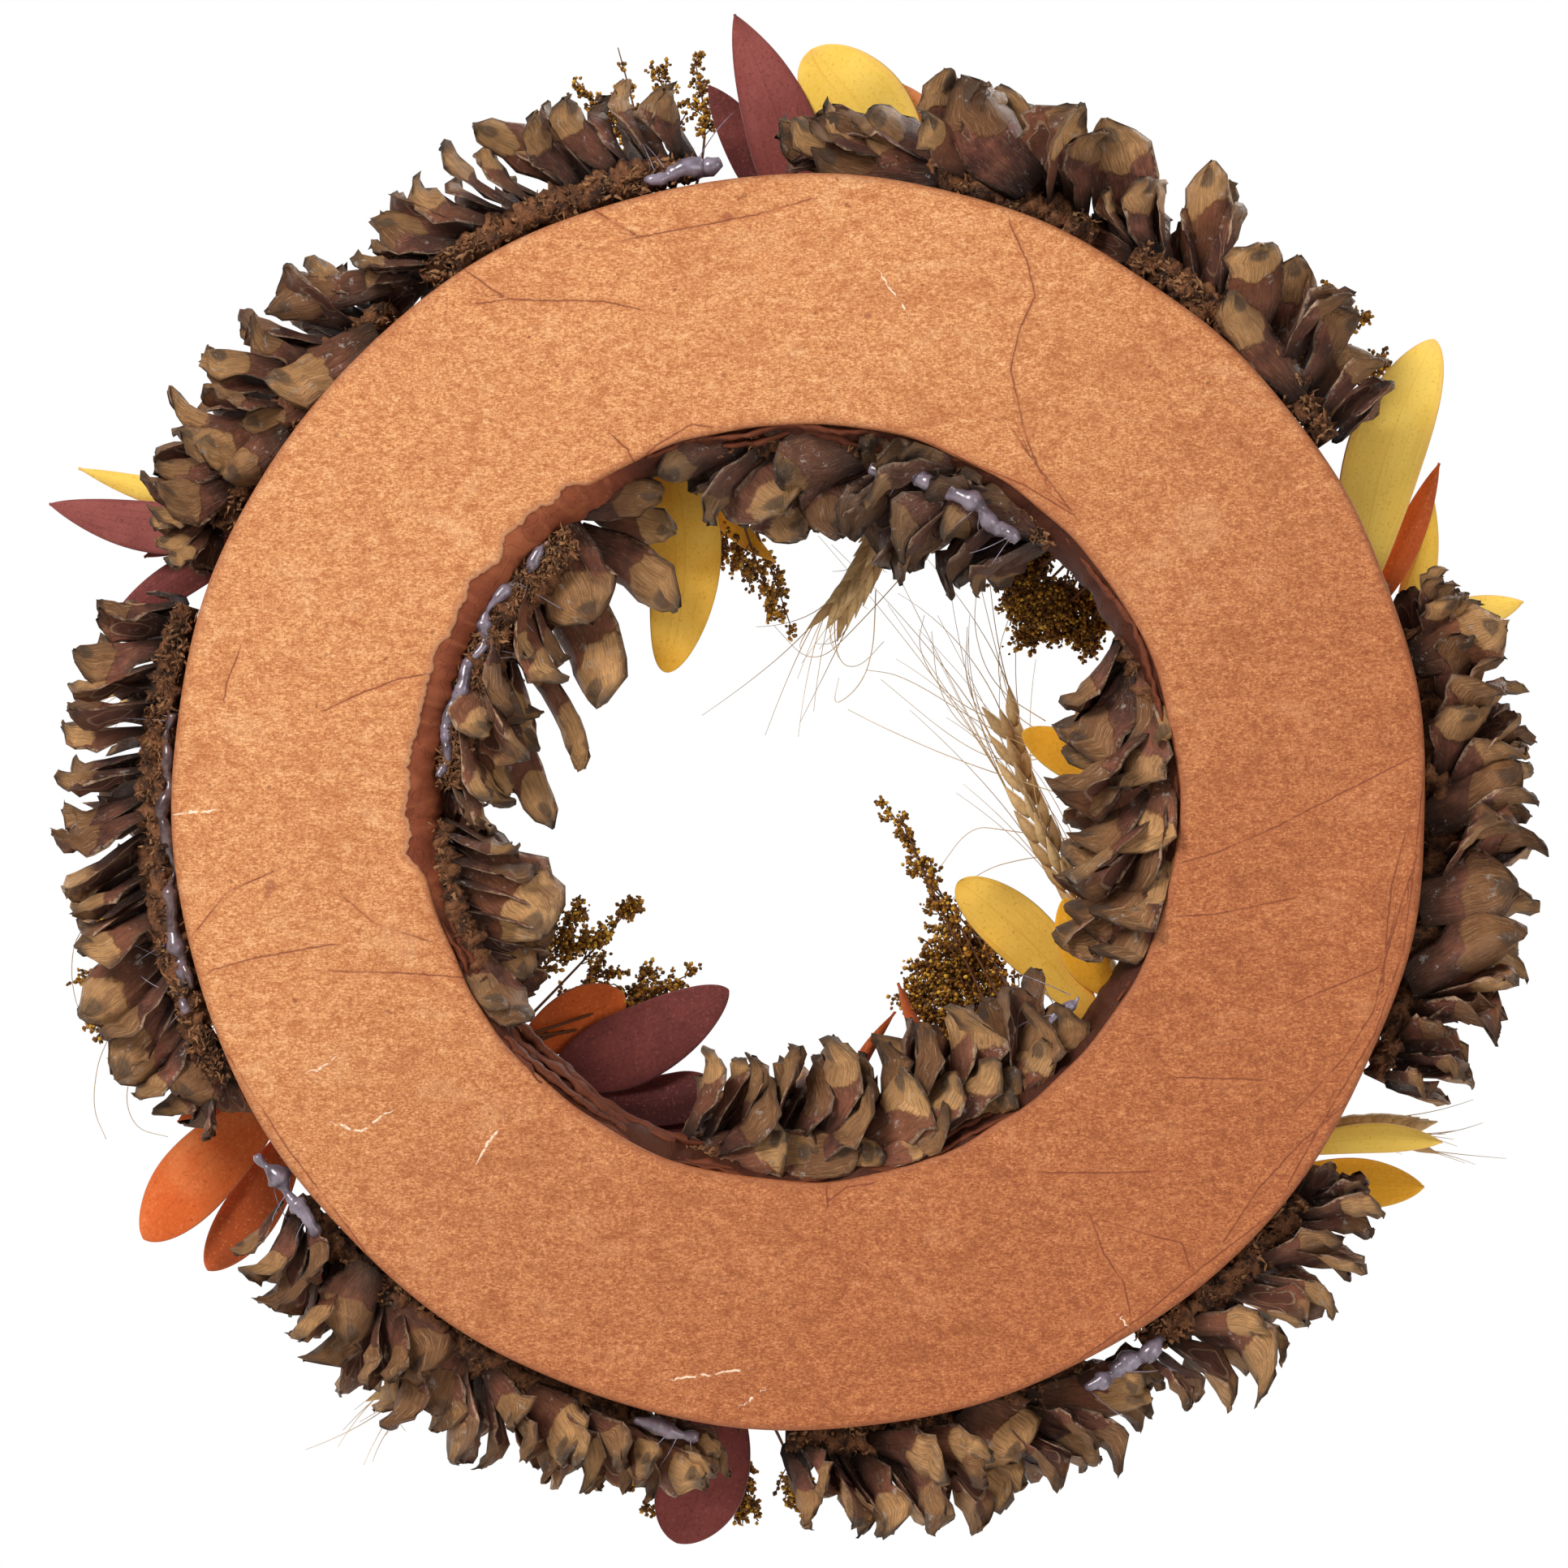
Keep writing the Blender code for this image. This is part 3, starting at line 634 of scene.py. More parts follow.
def makeLooseFolds():
    # thin flattened tubes round the hole, each wandering in and out and thinner towards its ends
    rows = np.array(looseFolds)
    share = np.linspace(0, 1, 90)
    angle = rows[:, :1] + (rows[:, 1:2] - rows[:, :1]) * share
    path = around(angle, ring["inner"] + rows[:, 2:3] * mm, rows[:, 3:4] * mm)
    lift = waves(path * np.array([1, 3.0, 1]), 26 * mm, 61) * 0.9 * mm
    path = around(angle, ring["inner"] + rows[:, 2:3] * mm + lift,
                  (rows[:, 3:4] + 0.8 * waves(path, 19 * mm, 62)) * mm)
    thick = rows[:, 4:5] * mm * np.sin(np.pi * np.clip(share, 0.02, 0.98)) ** 0.2 * (1
            + 0.2 * waves(path, 8 * mm, 63))
    skin = sweep(path, thick, 12, 0.55, side=np.array([0, 1.0, 0]))
    skin = skin + waves(skin, 5 * mm, 64)[..., None] * 0.25 * mm
    # painted light on the loose folds: the side facing the back, towards the key light, is made paler as painted
    # highlight, and each fold takes part of the wrap's painted shade
    edge = np.cos(np.linspace(0, 2 * np.pi, 12, endpoint=False)) * 0.5 + 0.5
    makePiece("looseFolds", [tube(skin, fold=(1 - edge) * 0.7, bare=0.38)], wrapPaper, "wrap")


makeSheet()
makeWrap()
makeLooseFolds()
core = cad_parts["core_ring"]
for slotNumber in range(max(1, len(core.material_slots))):
    core.material_slots[slotNumber].material = strawFinish()
print("paper ring ready")

goldenAngle = 137.508     # degrees round a cone from one scale to the next
scale = {
    "rows": 9, "sides": 10, "body": 0.8 * mm, "tipBody": 1.8 * mm, "length": 22.0 * mm, "width": 14.5 * mm,
    "share": [0, 0.16, 0.34, 0.52, 0.66, 0.78, 0.89, 0.96, 1.0],        # rows along the scale
    "widths": [0.38, 0.56, 0.76, 0.93, 1.0, 0.95, 0.70, 0.38, 0.12],    # half width at those rows
    "broadWidths": [0.60, 0.74, 0.88, 0.98, 1.0, 0.90, 0.62, 0.34, 0.10],    # those of standout scales
}


def scaleTubes(base, ahead, outer, length, width, seed, cup=0.34, bend=0.12, twist=0.36, coneShade=0.5,
               widths="widths"):
    # scales as arrays [scale, row, point round it]: place = base + ahead * length * share
    # + across * half width * cos(a)
    # + outer * (half the body * sin(a) - cup * |across| - bend * share^2 + the swollen end)
    count = len(base)
    rng = np.random.default_rng(seed)
    share = np.array(scale["share"])[None, :, None]
    turn = np.linspace(0, 2 * np.pi, scale["sides"], endpoint=False)[None, None]
    x, side = np.sign(np.cos(turn)) * np.abs(np.cos(turn)) ** 0.8, np.sin(turn) * np.abs(np.sin(turn)) ** 0.5
    left, right = rng.uniform(-0.2, 0.17, (2, count, scale["rows"], 1)) * (share > 0.3)
    reach, wide, each = length[:, None, None], width[:, None, None], (count, scale["rows"], scale["sides"])
    half = np.array(scale[widths])[None, :, None] * (1 + np.where(x < 0, left, right)) * wide / 2
    size = (length / scale["length"])[:, None, None]
    rise = np.clip((share - 0.50) / 0.2, 0, 1)
    rise = rise * rise * (3 - 2 * rise)
    thinner = 1 - 0.55 * np.clip(share - 0.8, 0, 1) * 5
    thick = (scale["body"] + (scale["tipBody"] - scale["body"]) * rise * thinner) * size
    curve = (cup * rng.uniform(0.4, 1.6, (count, 1, 1)), bend * rng.uniform(-0.6, 1.8, (count, 1, 1)))
    lean = rng.uniform(-0.20, 0.20, (count, 1, 1))
    skew = rng.uniform(-0.13, 0.13, (count, 1, 1))
    keel = 1.1 * mm * rise * (1 - np.abs(x) * 1.3).clip(0, 1) * (side > 0) * size
    nub = 1.0 * mm * np.exp(-((share - 0.92) / 0.05) ** 2) * (np.abs(x) < 0.7) * (side > 0) * size
    hook = rng.uniform(-1.2, 3.4, (count, 1, 1)) * mm * np.clip((share - 0.78) / 0.22, 0, 1) ** 2 * size
    out = thick / 2 * side + keel + nub + hook
    wave = rng.uniform(0, 6.28, (count, 1, 1))
    ruffle = 0.8 * mm * np.sin(7 * share + wave + 1.5 * np.sign(x)) * np.abs(x) ** 3
    out = out - curve[0] * np.abs(x) ** 1.15 * half * 2 - curve[1] * share ** 2 * reach * 0.9
    rough = ruffle + 0.5 * mm * rng.normal(size=each)
    out = out + lean * x * half + rough * share
    across = unit(np.cross(ahead, outer))
    outer = unit(np.cross(across, ahead))
    roll = rng.normal(size=(count, 1)) * twist
    across, outer = across * np.cos(roll) + outer * np.sin(roll), outer * np.cos(roll) - across * np.sin(roll)
    sideways = x * half + skew * share ** 2 * reach
    along = share * reach + 0.3 * mm * rng.normal(size=each)
    points = (base[:, None, None] + ahead[:, None, None] * along[..., None]
              + across[:, None, None] * sideways[..., None] + outer[:, None, None] * out[..., None])
    tone = rng.uniform(0, 1, (count, 1, 1))
    face = (side > 0.01) * 1.0 + (np.abs(side) <= 0.01) * 0.5
    return tube(points, alongScale=share, acrossScale=x, outerFace=face, scaleTone=tone,
                coneShade=coneShade)


# each wall cone: which way its tip points (1 is anticlockwise), how deep its axis lies in mm, the fan of its
# scales in degrees from straight out of the wall (below 0 is towards the flat back), how far its scales lean at
# the foot and the tip, its shade (0 dark) and how fibrous its core is; where given, the mm between scales
# (pitch), their width and length as shares (wide, long), how far the wall is moved out in mm (inset), the core's
# radius and place in mm, an angle past which scales are short and their share, and the angles scales stop at
wallCones = {
    "outer_cone_1": dict(tip=1, axis=12, fan=(-30, 105), open=(12, 52), shade=0.45, fibre=0.8),
    "outer_cone_2": dict(tip=1, axis=17, fan=(-70, 95), open=(15, 58), shade=0.30, fibre=0.3,
                         low=(76, 0.28)),
    "outer_cone_3": dict(tip=1, axis=11, fan=(-24, 110), open=(10, 50), shade=0.30, fibre=0.9),
    "outer_cone_4": dict(tip=1, axis=18, fan=(-60, 95), open=(12, 55), shade=0.52, fibre=0.4),
    "outer_cone_5": dict(tip=1, axis=11, fan=(-22, 110), open=(6, 42), shade=0.46, fibre=1.0),
    "outer_cone_6": dict(tip=1, axis=18, fan=(-72, 95), open=(20, 62), shade=0.55, fibre=0.3),
    "outer_cone_7": dict(tip=1, axis=18, fan=(-70, 95), open=(18, 58), shade=0.52, fibre=0.3),
    "outer_cone_8": dict(tip=1, axis=13, fan=(-40, 105), open=(12, 50), shade=0.50, fibre=0.6),
    "outer_cone_9": dict(tip=1, axis=19, fan=(-76, 95), open=(10, 60), shade=0.50, fibre=0.2),
    "inner_cone_1": dict(tip=1, axis=10, fan=(-70, 95), open=(18, 52), shade=0.14, fibre=0.5, pitch=0.62,
                         wide=1.25,
                         long=1.1, stop=97),
    "inner_cone_2": dict(tip=1, axis=10, fan=(-40, 110), open=(22, 60), shade=0.45, fibre=2.6, inset=4.0,
                         core=5.6, coreOff=5.6),
    "inner_cone_3": dict(tip=1, axis=9, fan=(-80, 95), open=(25, 62), shade=0.36, fibre=0.2, stop=-155),
    "inner_cone_4": dict(tip=1, axis=11, fan=(-58, 95), open=(10, 38), shade=0.50, fibre=0.2, pitch=0.58,
                         wide=1.2,
                         long=1.2, stop=-50),
    "inner_cone_5": dict(tip=-1, axis=9, fan=(-74, 95), open=(26, 48), shade=0.55, fibre=0.1, pitch=0.62,
                         wide=1.5,
                         long=1.1, after=-14),
}
# single scales that stand out: base angle and mm out from the wall, tip angle and mm out, width, depth in mm
standoutScales = {
    "outer_cone_1": [(52, 11, 58, 29, 12, 14), (49, 14, 55, 30, 9, 20), (39, 8, 50, 9, 13, 6),
                     (43, 14, 48, 25, 11, 16)],
    "outer_cone_2": [(75, 4, 89, 3, 16, 10), (66, 5, 78, 23, 20, 8), (66, 12, 74, 28, 11, 22),
                     (64, 7, 68, 29, 8, 20),
                     (59, 7, 65, 29, 16, 14)],
    "outer_cone_3": [(108, 3, 115, 30, 10, 18), (119, 1, 126, 22, 9, 12)],
    "outer_cone_4": [(125, 4, 137, 23, 10, 12), (132, 2, 142, 10, 17, 8), (139, -1, 146, 10, 11, 12),
                     (144, 0, 151, 5, 15, 10)],
    "outer_cone_5": [(193, 6, 196, 28, 15, 10), (199, 2, 201, 25, 17, 8), (203, 0, 206, 12, 15, 8)],
    "outer_cone_6": [(228, 0, 230, 17, 16, 8), (239, 0, 240, 19, 13, 12)],
    "outer_cone_7": [(285, 0, 288, 15, 18, 8), (291, 3, 300, 17, 11, 12)],
    "outer_cone_9": [(358, 0, 362, 22, 15, 10), (350, 0, 354, 20, 16, 8), (342, 1, 350, 24, 16, 8),
                     (13, 0, 15, 22, 15, 10)],
    "inner_cone_2": [(131, 0, 138, 23, 18, 8), (138, 16, 151, 36, 17, 16), (157, 12, 186, 27, 9, 14),
                     (150, 5, 170, 22, 10, 19), (160, 3, 178, 20, 9, 17),
                     (151, 16, 169, 36, 10, 20), (128, 0, 114, 9, 11, 12), (131, 8, 122, 32, 13, 20),
                     (125, 2, 116, 18, 10, 22)],
    "inner_cone_3": [(181, 2, 208, 19, 24, 8), (200, 4, 213, 13, 16, 12)],
    "inner_cone_1": [(102, 2, 95, 22, 20, 8), (96, 5, 88, 26, 16, 12), (86, 3, 80, 25, 15, 10)],
}


def coneAxes(angle, outside):
    # outward from the wall, and along the ring anticlockwise, at each angle
    turn = np.radians(angle)
    out = np.stack([np.cos(turn), 0 * turn, np.sin(turn)], -1) * (1 if outside else -1)
    return out, np.stack([-np.sin(turn), 0 * turn, np.cos(turn)], -1)


def tuckIn(part):
    # nothing of an inner cone stands in front of the sheet: what lies past the sheet's edge is drawn in to it
    limit = ring["flatInner"] - sheet["innerOverhang"] - 0.4 * mm
    across = part["points"] - centre
    radius = np.hypot(across[..., 0], across[..., 2])
    share = np.where(radius > limit, (limit + 0.05 * (radius - limit)) / radius, 1)[..., None]
    part["points"] = centre + across * np.where(np.array([1, 0, 1]) > 0, share, 1)
    return part


def goldenFan(start, end, tip, count, seed):
    # scales along a cone from its foot (share 0) to its tip (share 1): the angle on the ring, the share along,
    # and the turn round the axis in degrees, which grows by the golden angle and is kept in -180 to 180
    index = np.arange(count)
    along = (index + 0.5) / count
    angle = start + (end - start) * (along if tip > 0 else 1 - along)
    return angle, along, (index * goldenAngle + seed * 40 + 180) % 360 - 180


def leanAlong(cone, along):
    # how far the scales lean towards the tip, in degrees: little at the foot, most at the tip
    least, most = cone["open"]
    return np.interp(along, [0, 0.25, 0.7, 1], [least - 8, least, np.mean(cone["open"]), most])


def makeWallCone(name, seed):
    # scales stand off the axis at angle fan from straight out: base = axis + radial * core radius,
    # ahead = cos(lean) * radial + sin(lean) * tangent, outer square to it
    cone = wallCones[name]
    outside = name.startswith("outer")
    sign = 1 if outside else -1
    start, end, low, high, _, deep = arcOf(name)
    wall = ring["outer"] if outside else ring["inner"] + cone.get("inset", 5.5) * mm
    rng = np.random.default_rng(seed)
    step = cone.get("pitch", 0.66) * mm / wall
    count = int(np.radians(end - start) / step)
    angle, along, fan = goldenFan(start, end, cone["tip"], count, seed)
    keep = (fan > cone["fan"][0]) & (fan < cone["fan"][1])
    keep &= (angle < cone.get("stop", 400)) & (angle > cone.get("after", -400))
    angle, along, fan = angle[keep], along[keep], fan[keep] + rng.uniform(-5, 5, keep.sum())
    size = np.interp(along, [0, 0.12, 0.3, 0.7, 0.9, 1], [0.76, 0.92, 1.02, 1.0, 0.84, 0.55])
    size = size * rng.uniform(0.88, 1.1, len(size)) * cone.get("long", 1)
    lean = leanAlong(cone, along) + rng.uniform(-7, 7, len(along))
    out, tangent = coneAxes(angle, outside)
    tangent = tangent * cone["tip"]
    axisDepth = cone["axis"] * mm
    axisOut = (4.0 if cone["axis"] > 15 else 3.0) * mm
    coreRadius = 2.6 * mm
    sine = np.sin(np.radians(fan))
    turn = np.radians(fan)[:, None]
    radial = np.cos(turn) * out + np.sin(turn) * np.array([0, 1.0, 0])
    length = scale["length"] * size
    # a scale that would pass the back or the front of its cone, or its reach, leans over until it fits
    reach = np.full(len(fan), (high - wall if outside else wall - low) + 1.5 * mm - axisOut - coreRadius)
    toBack = np.where(fan < 0, (axisDepth - 2.2 * mm) / np.maximum(-sine, 0.02) - coreRadius, 1)
    toFront = np.where(fan > 0, (deep - axisDepth + 1 * mm) / np.maximum(sine, 0.02) - coreRadius, 1)
    reach = reach * np.interp(along, [0, 0.12, 0.3, 0.75, 0.9, 1], [0.76, 0.9, 1, 0.95, 0.7, 0.42])
    lowFrom, lowShare = cone.get("low", (400, 1))
    reach = reach * np.where(angle > lowFrom, lowShare, 1)
    room = np.minimum(np.minimum(reach / np.maximum(np.cos(turn[:, 0]), 0.02), toBack), toFront) / length
    lean = np.maximum(np.radians(lean), np.arccos(np.clip(room, 0.05, 1)))[:, None]
    ahead = np.cos(lean) * radial + np.sin(lean) * tangent
    outer = np.sin(lean) * radial - np.cos(lean) * tangent
    base = around(angle, wall + sign * axisOut, axisDepth) + radial * coreRadius
    standouts = np.array(standoutScales.get(name, np.empty((0, 6))), float)
    # a scale that would stand in front of one of those that stand out is left off
    middle = base + ahead * length[:, None] * 0.7
    fromCentre = np.hypot(middle[:, 0], middle[:, 2] - centre[2])
    clear = (fromCentre < ring["flatInner"] - 5 * mm) | outside
    for share in (0.25, 0.6, 0.95):
        spot = around(standouts[:, 0] + share * (standouts[:, 2] - standouts[:, 0]),
                      wall + sign * (standouts[:, 1] + share * (standouts[:, 3] - standouts[:, 1])) * mm,
                      standouts[:, 5] * mm)
        apart = np.hypot(middle[:, None, 0] - spot[None, :, 0], middle[:, None, 2] - spot[None, :, 2])
        behind = middle[:, None, 1] < spot[None, :, 1] + 3 * mm
        clear &= ~((apart < standouts[None, :, 4] * 0.36 * mm) & behind).any(1)
    base, ahead, outer, length, size = base[clear], ahead[clear], outer[clear], length[clear], size[clear]
    width = scale["width"] * cone.get("wide", 1) * size / cone.get("long", 1)
    width = width * rng.uniform(0.72, 1.12, len(size))
    tubes = [scaleTubes(base, ahead, outer, length, width, seed, coneShade=cone["shade"])]
    if len(standouts):
        foot = around(standouts[:, 0], wall + sign * np.minimum(standouts[:, 1], 5) * mm,
                      standouts[:, 5] * mm + 2 * mm)
        tip = around(standouts[:, 2], wall + sign * standouts[:, 3] * mm, standouts[:, 5] * mm - 1.5 * mm)
        ahead = unit(tip - foot)
        foot = tip - ahead * np.minimum(np.linalg.norm(tip - foot, axis=1), 29 * mm)[:, None]
        outer = np.array([0, -1.0, 0]) + 0.35 * rng.normal(size=ahead.shape)
        tubes.append(scaleTubes(foot, ahead, outer, np.linalg.norm(tip - foot, axis=1),
                                standouts[:, 4] * mm, seed + 1,
                                cup=0.34, bend=0.04, twist=0.15, coneShade=cone["shade"] + 0.1,
                                widths="broadWidths"))
    if not outside:
        tubes = [tuckIn(part) for part in tubes]
    makePiece(name + "_scales", tubes, coneWood, "cone", [name])
    makeConeCore(name, rng, seed, sign, wall, axisDepth)


def makeConeCore(name, rng, seed, sign, wall, axisDepth):
    # the woody core: a lumpy tube along the wall, its radius the sine of the share to the power 0.3, and flakes
    cone = wallCones[name]
    start, end = arcOf(name)[:2]
    coreOff, coreThick = cone.get("coreOff", 3.2), cone.get("core", 4.4) * mm
    spots = np.linspace(start + 0.8, end - 0.8, max(10, int((end - start) * 3)))
    thickness = np.sin(np.linspace(0.12, np.pi - 0.12, len(spots))) ** 0.3 * coreThick
    path = around(spots, wall + sign * coreOff * mm, axisDepth)
    body = sweep(path, thickness, 16, side=np.array([0, 1.0, 0]))
    lumps = 1.0 * mm * waves(body, 4.5 * mm, seed + 7) + 0.6 * mm * waves(body, 1.6 * mm, seed + 8)
    body = body + unit(body - path[None, :, None]) * lumps[..., None]
    flakeCount = int(len(spots) * 5 * cone["fibre"]) + 4
    where = rng.uniform(start + 1, end - 1, flakeCount)
    foot = around(where, wall + sign * (rng.uniform(-2.8, 2.8, flakeCount) + coreOff) * mm,
                  axisDepth - rng.uniform(0.64, 1.0, flakeCount) * coreThick)
    out, tangent = coneAxes(where, sign > 0)
    way = unit(tangent * rng.normal(size=(flakeCount, 1)) + out * rng.normal(size=(flakeCount, 1)) * 0.7
               + np.array([0, -0.35, 0]) * rng.uniform(0, 1, (flakeCount, 1)))
    stretch = np.linspace(0, 1, 4)[None, :, None]
    flakes = foot[:, None] + way[:, None] * stretch * rng.uniform(0.6, 2.6, (flakeCount, 1, 1)) * mm
    flakes = flakes + rng.normal(size=(flakeCount, 4, 3)) * 0.25 * mm
    flakes = sweep(flakes, np.array([0.3, 0.42, 0.3, 0.1]) * mm * rng.uniform(0.4, 1.5, (flakeCount, 1)), 5,
                   0.4)
    fleck = rng.uniform(0, 1, (flakeCount, 1, 1)) ** 2
    makePiece(name + "_core", [tube(body, fleck=0.0), tube(flakes, fleck=fleck)], coneCore, "cone")


def coneWoodFinish():
    def recipe(wire):
        place = wire.objectPlace()
        along, across = wire.attribute("alongScale"), wire.attribute("acrossScale")
        face, tone = wire.attribute("outerFace"), wire.attribute("scaleTone")
        shade = wire.attribute("coneShade")
        clouds, fine = wire.noise(place, 130.0, 4, 0.6), wire.noise(place, 900.0, 3, 0.6)
        streaks = wire.noise(wire.pack(across * 9.0 + tone * 40, along * 2.2, tone * 17), 1.0, 4, 0.65)
        # the body of a scale: maroon brown, streaked along, paler at its thin edges
        body = clouds.between(0.32, 0.68).blend(colour(68, 34, 27), colour(152, 90, 68))
        body = (streaks.between(0.40, 0.66) * 0.6).blend(body, colour(92, 52, 40))
        body = (tone.between(0.55, 1.0) * 0.5).blend(body, colour(150, 90, 54))
        edge = wire.maths("ABSOLUTE", across) + fine * 0.3
        body = (edge.between(1.05, 1.15) * 0.85).blend(body, colour(216, 180, 146))
        # two hollows where the seeds lay, on the inner side, each ringed in cream
        seedX = (wire.maths("ABSOLUTE", across) - 0.42) / 0.34
        seedY = (along - 0.52) / 0.26
        oval = wire.maths("SQRT", seedX * seedX + seedY * seedY)
        inner = 1.0 - face
        rimLine = oval.between(0.84, 0.95) * oval.between(1.0, 1.10, 1.0, 0.0) * inner
        body = (oval.between(0.78, 0.9, 1.0, 0.0) * inner * 0.6).blend(body, colour(88, 50, 40))
        body = (rimLine * 0.45).blend(body, colour(190, 160, 128))
        # the swollen end: tan with fine lines that run to a grey knob
        slant = across * (tone - 0.5) * 0.34 + wire.maths("ABSOLUTE", across) * 0.12
        edgePlace = (0.62 + (0.5 - shade) * 0.3 - face * 0.12 + (clouds - 0.5) * 0.30 + (tone - 0.5) * 0.16
                     + slant)
        swollen = (along - edgePlace).between(-0.012, 0.03)
        lines = wire.noise(wire.pack(across * 30.0 + tone * 11, along * 4.0, tone * 31), 1.0, 4, 0.75)
        tan = (tone + clouds - 0.5).between(0.0, 1.0).blend(colour(146, 98, 60), colour(244, 184, 120))
        tan = (lines.between(0.49, 0.60) * 0.45).blend(tan, colour(96, 60, 36))
        tan = (lines.between(0.34, 0.45, 1.0, 0.0) * 0.4).blend(tan, colour(255, 214, 160))
        tan = (clouds.between(0.54, 0.70) * 0.6).blend(tan, colour(110, 72, 46))
        tanEdge = (wire.maths("ABSOLUTE", across) + (clouds - 0.5) * 0.4).between(0.78, 1.0)
        tan = (tanEdge * 0.6).blend(tan, colour(92, 60, 40))
        knobY = (along - 0.87) / 0.09
        knob = wire.maths("SQRT", across * across * 5.0 + knobY * knobY).between(0.6, 1.1, 1.0, 0.0)
        tan = (knob * 0.7).blend(tan, colour(92, 76, 66))
        swollen = swollen * (face * 0.85 + along.between(0.76, 0.86) * 0.45)
        wood = wire.maths("MINIMUM", swollen, 1.0).blend(body, tan)
        crust = along.between(0.93, 0.99) * tone.between(0.35, 0.6) * clouds.between(0.44, 0.56)
        wood = (crust * 0.6).blend(wood, colour(186, 174, 160))
        tipDirt = along.between(0.86, 0.98) * clouds.between(0.36, 0.56) * 0.7
        wood = tipDirt.blend(wood, colour(74, 52, 40))
        # painted shade: each scale darkens to near black towards its foot, deep in the gaps between the scales
        wood = (along.between(0.0, 0.52, 0.9, 0.0)).blend(wood, colour(30, 17, 14))
        # whole-cone shade: dark and grey at 0, warm tan at 1
        wood = shade.between(0.0, 0.42, 0.72, 0.0).blend(wood, colour(50, 38, 34))
        wood = (shade.between(0.45, 0.8) * 0.12).blend(wood, colour(196, 138, 88))
        frost = wire.noise(place, 430.0, 4, 0.75).between(0.58, 0.68)
        frost = frost * wire.noise(place, 70.0, 2).between(0.44, 0.58)
        wood = (frost * 0.6).blend(wood, colour(212, 204, 196))
        grain = wire.noise(wire.pack(across * 60.0 + tone * 23, along * 9.0, tone * 13), 1.0, 3, 0.7)
        wood = (grain.between(0.56, 0.70) * 0.4).blend(wood, colour(44, 26, 20))
        paleGrain = grain.between(0.32, 0.44, 1.0, 0.0) * 0.28 * (0.4 + face)
        wood = paleGrain.blend(wood, colour(206, 164, 122))
        height = streaks * 0.8 + fine * 0.4 + lines * swollen * 1.2 + rimLine * 0.5 + clouds * 0.5
        height = height + grain * 0.5
        return {"Base Color": wood, "Roughness": clouds * 0.25 + 0.42 - frost * 0.1,
                "bump": (height, 0.9, 0.0012)}

    return newFinish("coneWood", recipe, Specular_IOR_Level=0.38)


def coneCoreFinish():
    def recipe(wire):
        place = wire.objectPlace()
        clouds, fine = wire.noise(place, 260.0, 5, 0.7), wire.noise(place, 1100.0, 3, 0.7)
        base = clouds.between(0.35, 0.65).blend(colour(46, 27, 19), colour(134, 86, 54))
        base = (fine.between(0.56, 0.7) * 0.5).blend(base, colour(166, 118, 80))
        fleck = wire.attribute("fleck")
        base = (fleck * 0.7).blend(base, colour(180, 132, 90))
        return {"Base Color": base, "Roughness": fine * 0.2 + 0.65,
                "bump": (clouds + fine * 0.6, 0.9, 0.0012)}

    return newFinish("coneCore", recipe, Specular_IOR_Level=0.25)


coneWood, coneCore = coneWoodFinish(), coneCoreFinish()
for coneNumber, coneName in enumerate(wallCones):
    makeWallCone(coneName, 100 + coneNumber * 7)
print("wall cones ready")

# the cones on the front lie along the ring and open forwards
frontCones = {
    "front_cone_1": dict(tip=1, open=(25, 66), shade=0.48),
              "front_cone_2": dict(tip=1, open=(30, 68), shade=0.55),
    "front_cone_3": dict(tip=-1, open=(25, 66), shade=0.42),
              "front_cone_4": dict(tip=1, open=(28, 66), shade=0.55),
    "front_cone_5": dict(tip=1, open=(22, 66), shade=0.5),
              "front_cone_6": dict(tip=-1, open=(28, 68), shade=0.6),
    "front_cone_7": dict(tip=1, open=(24, 66), shade=0.46),
}


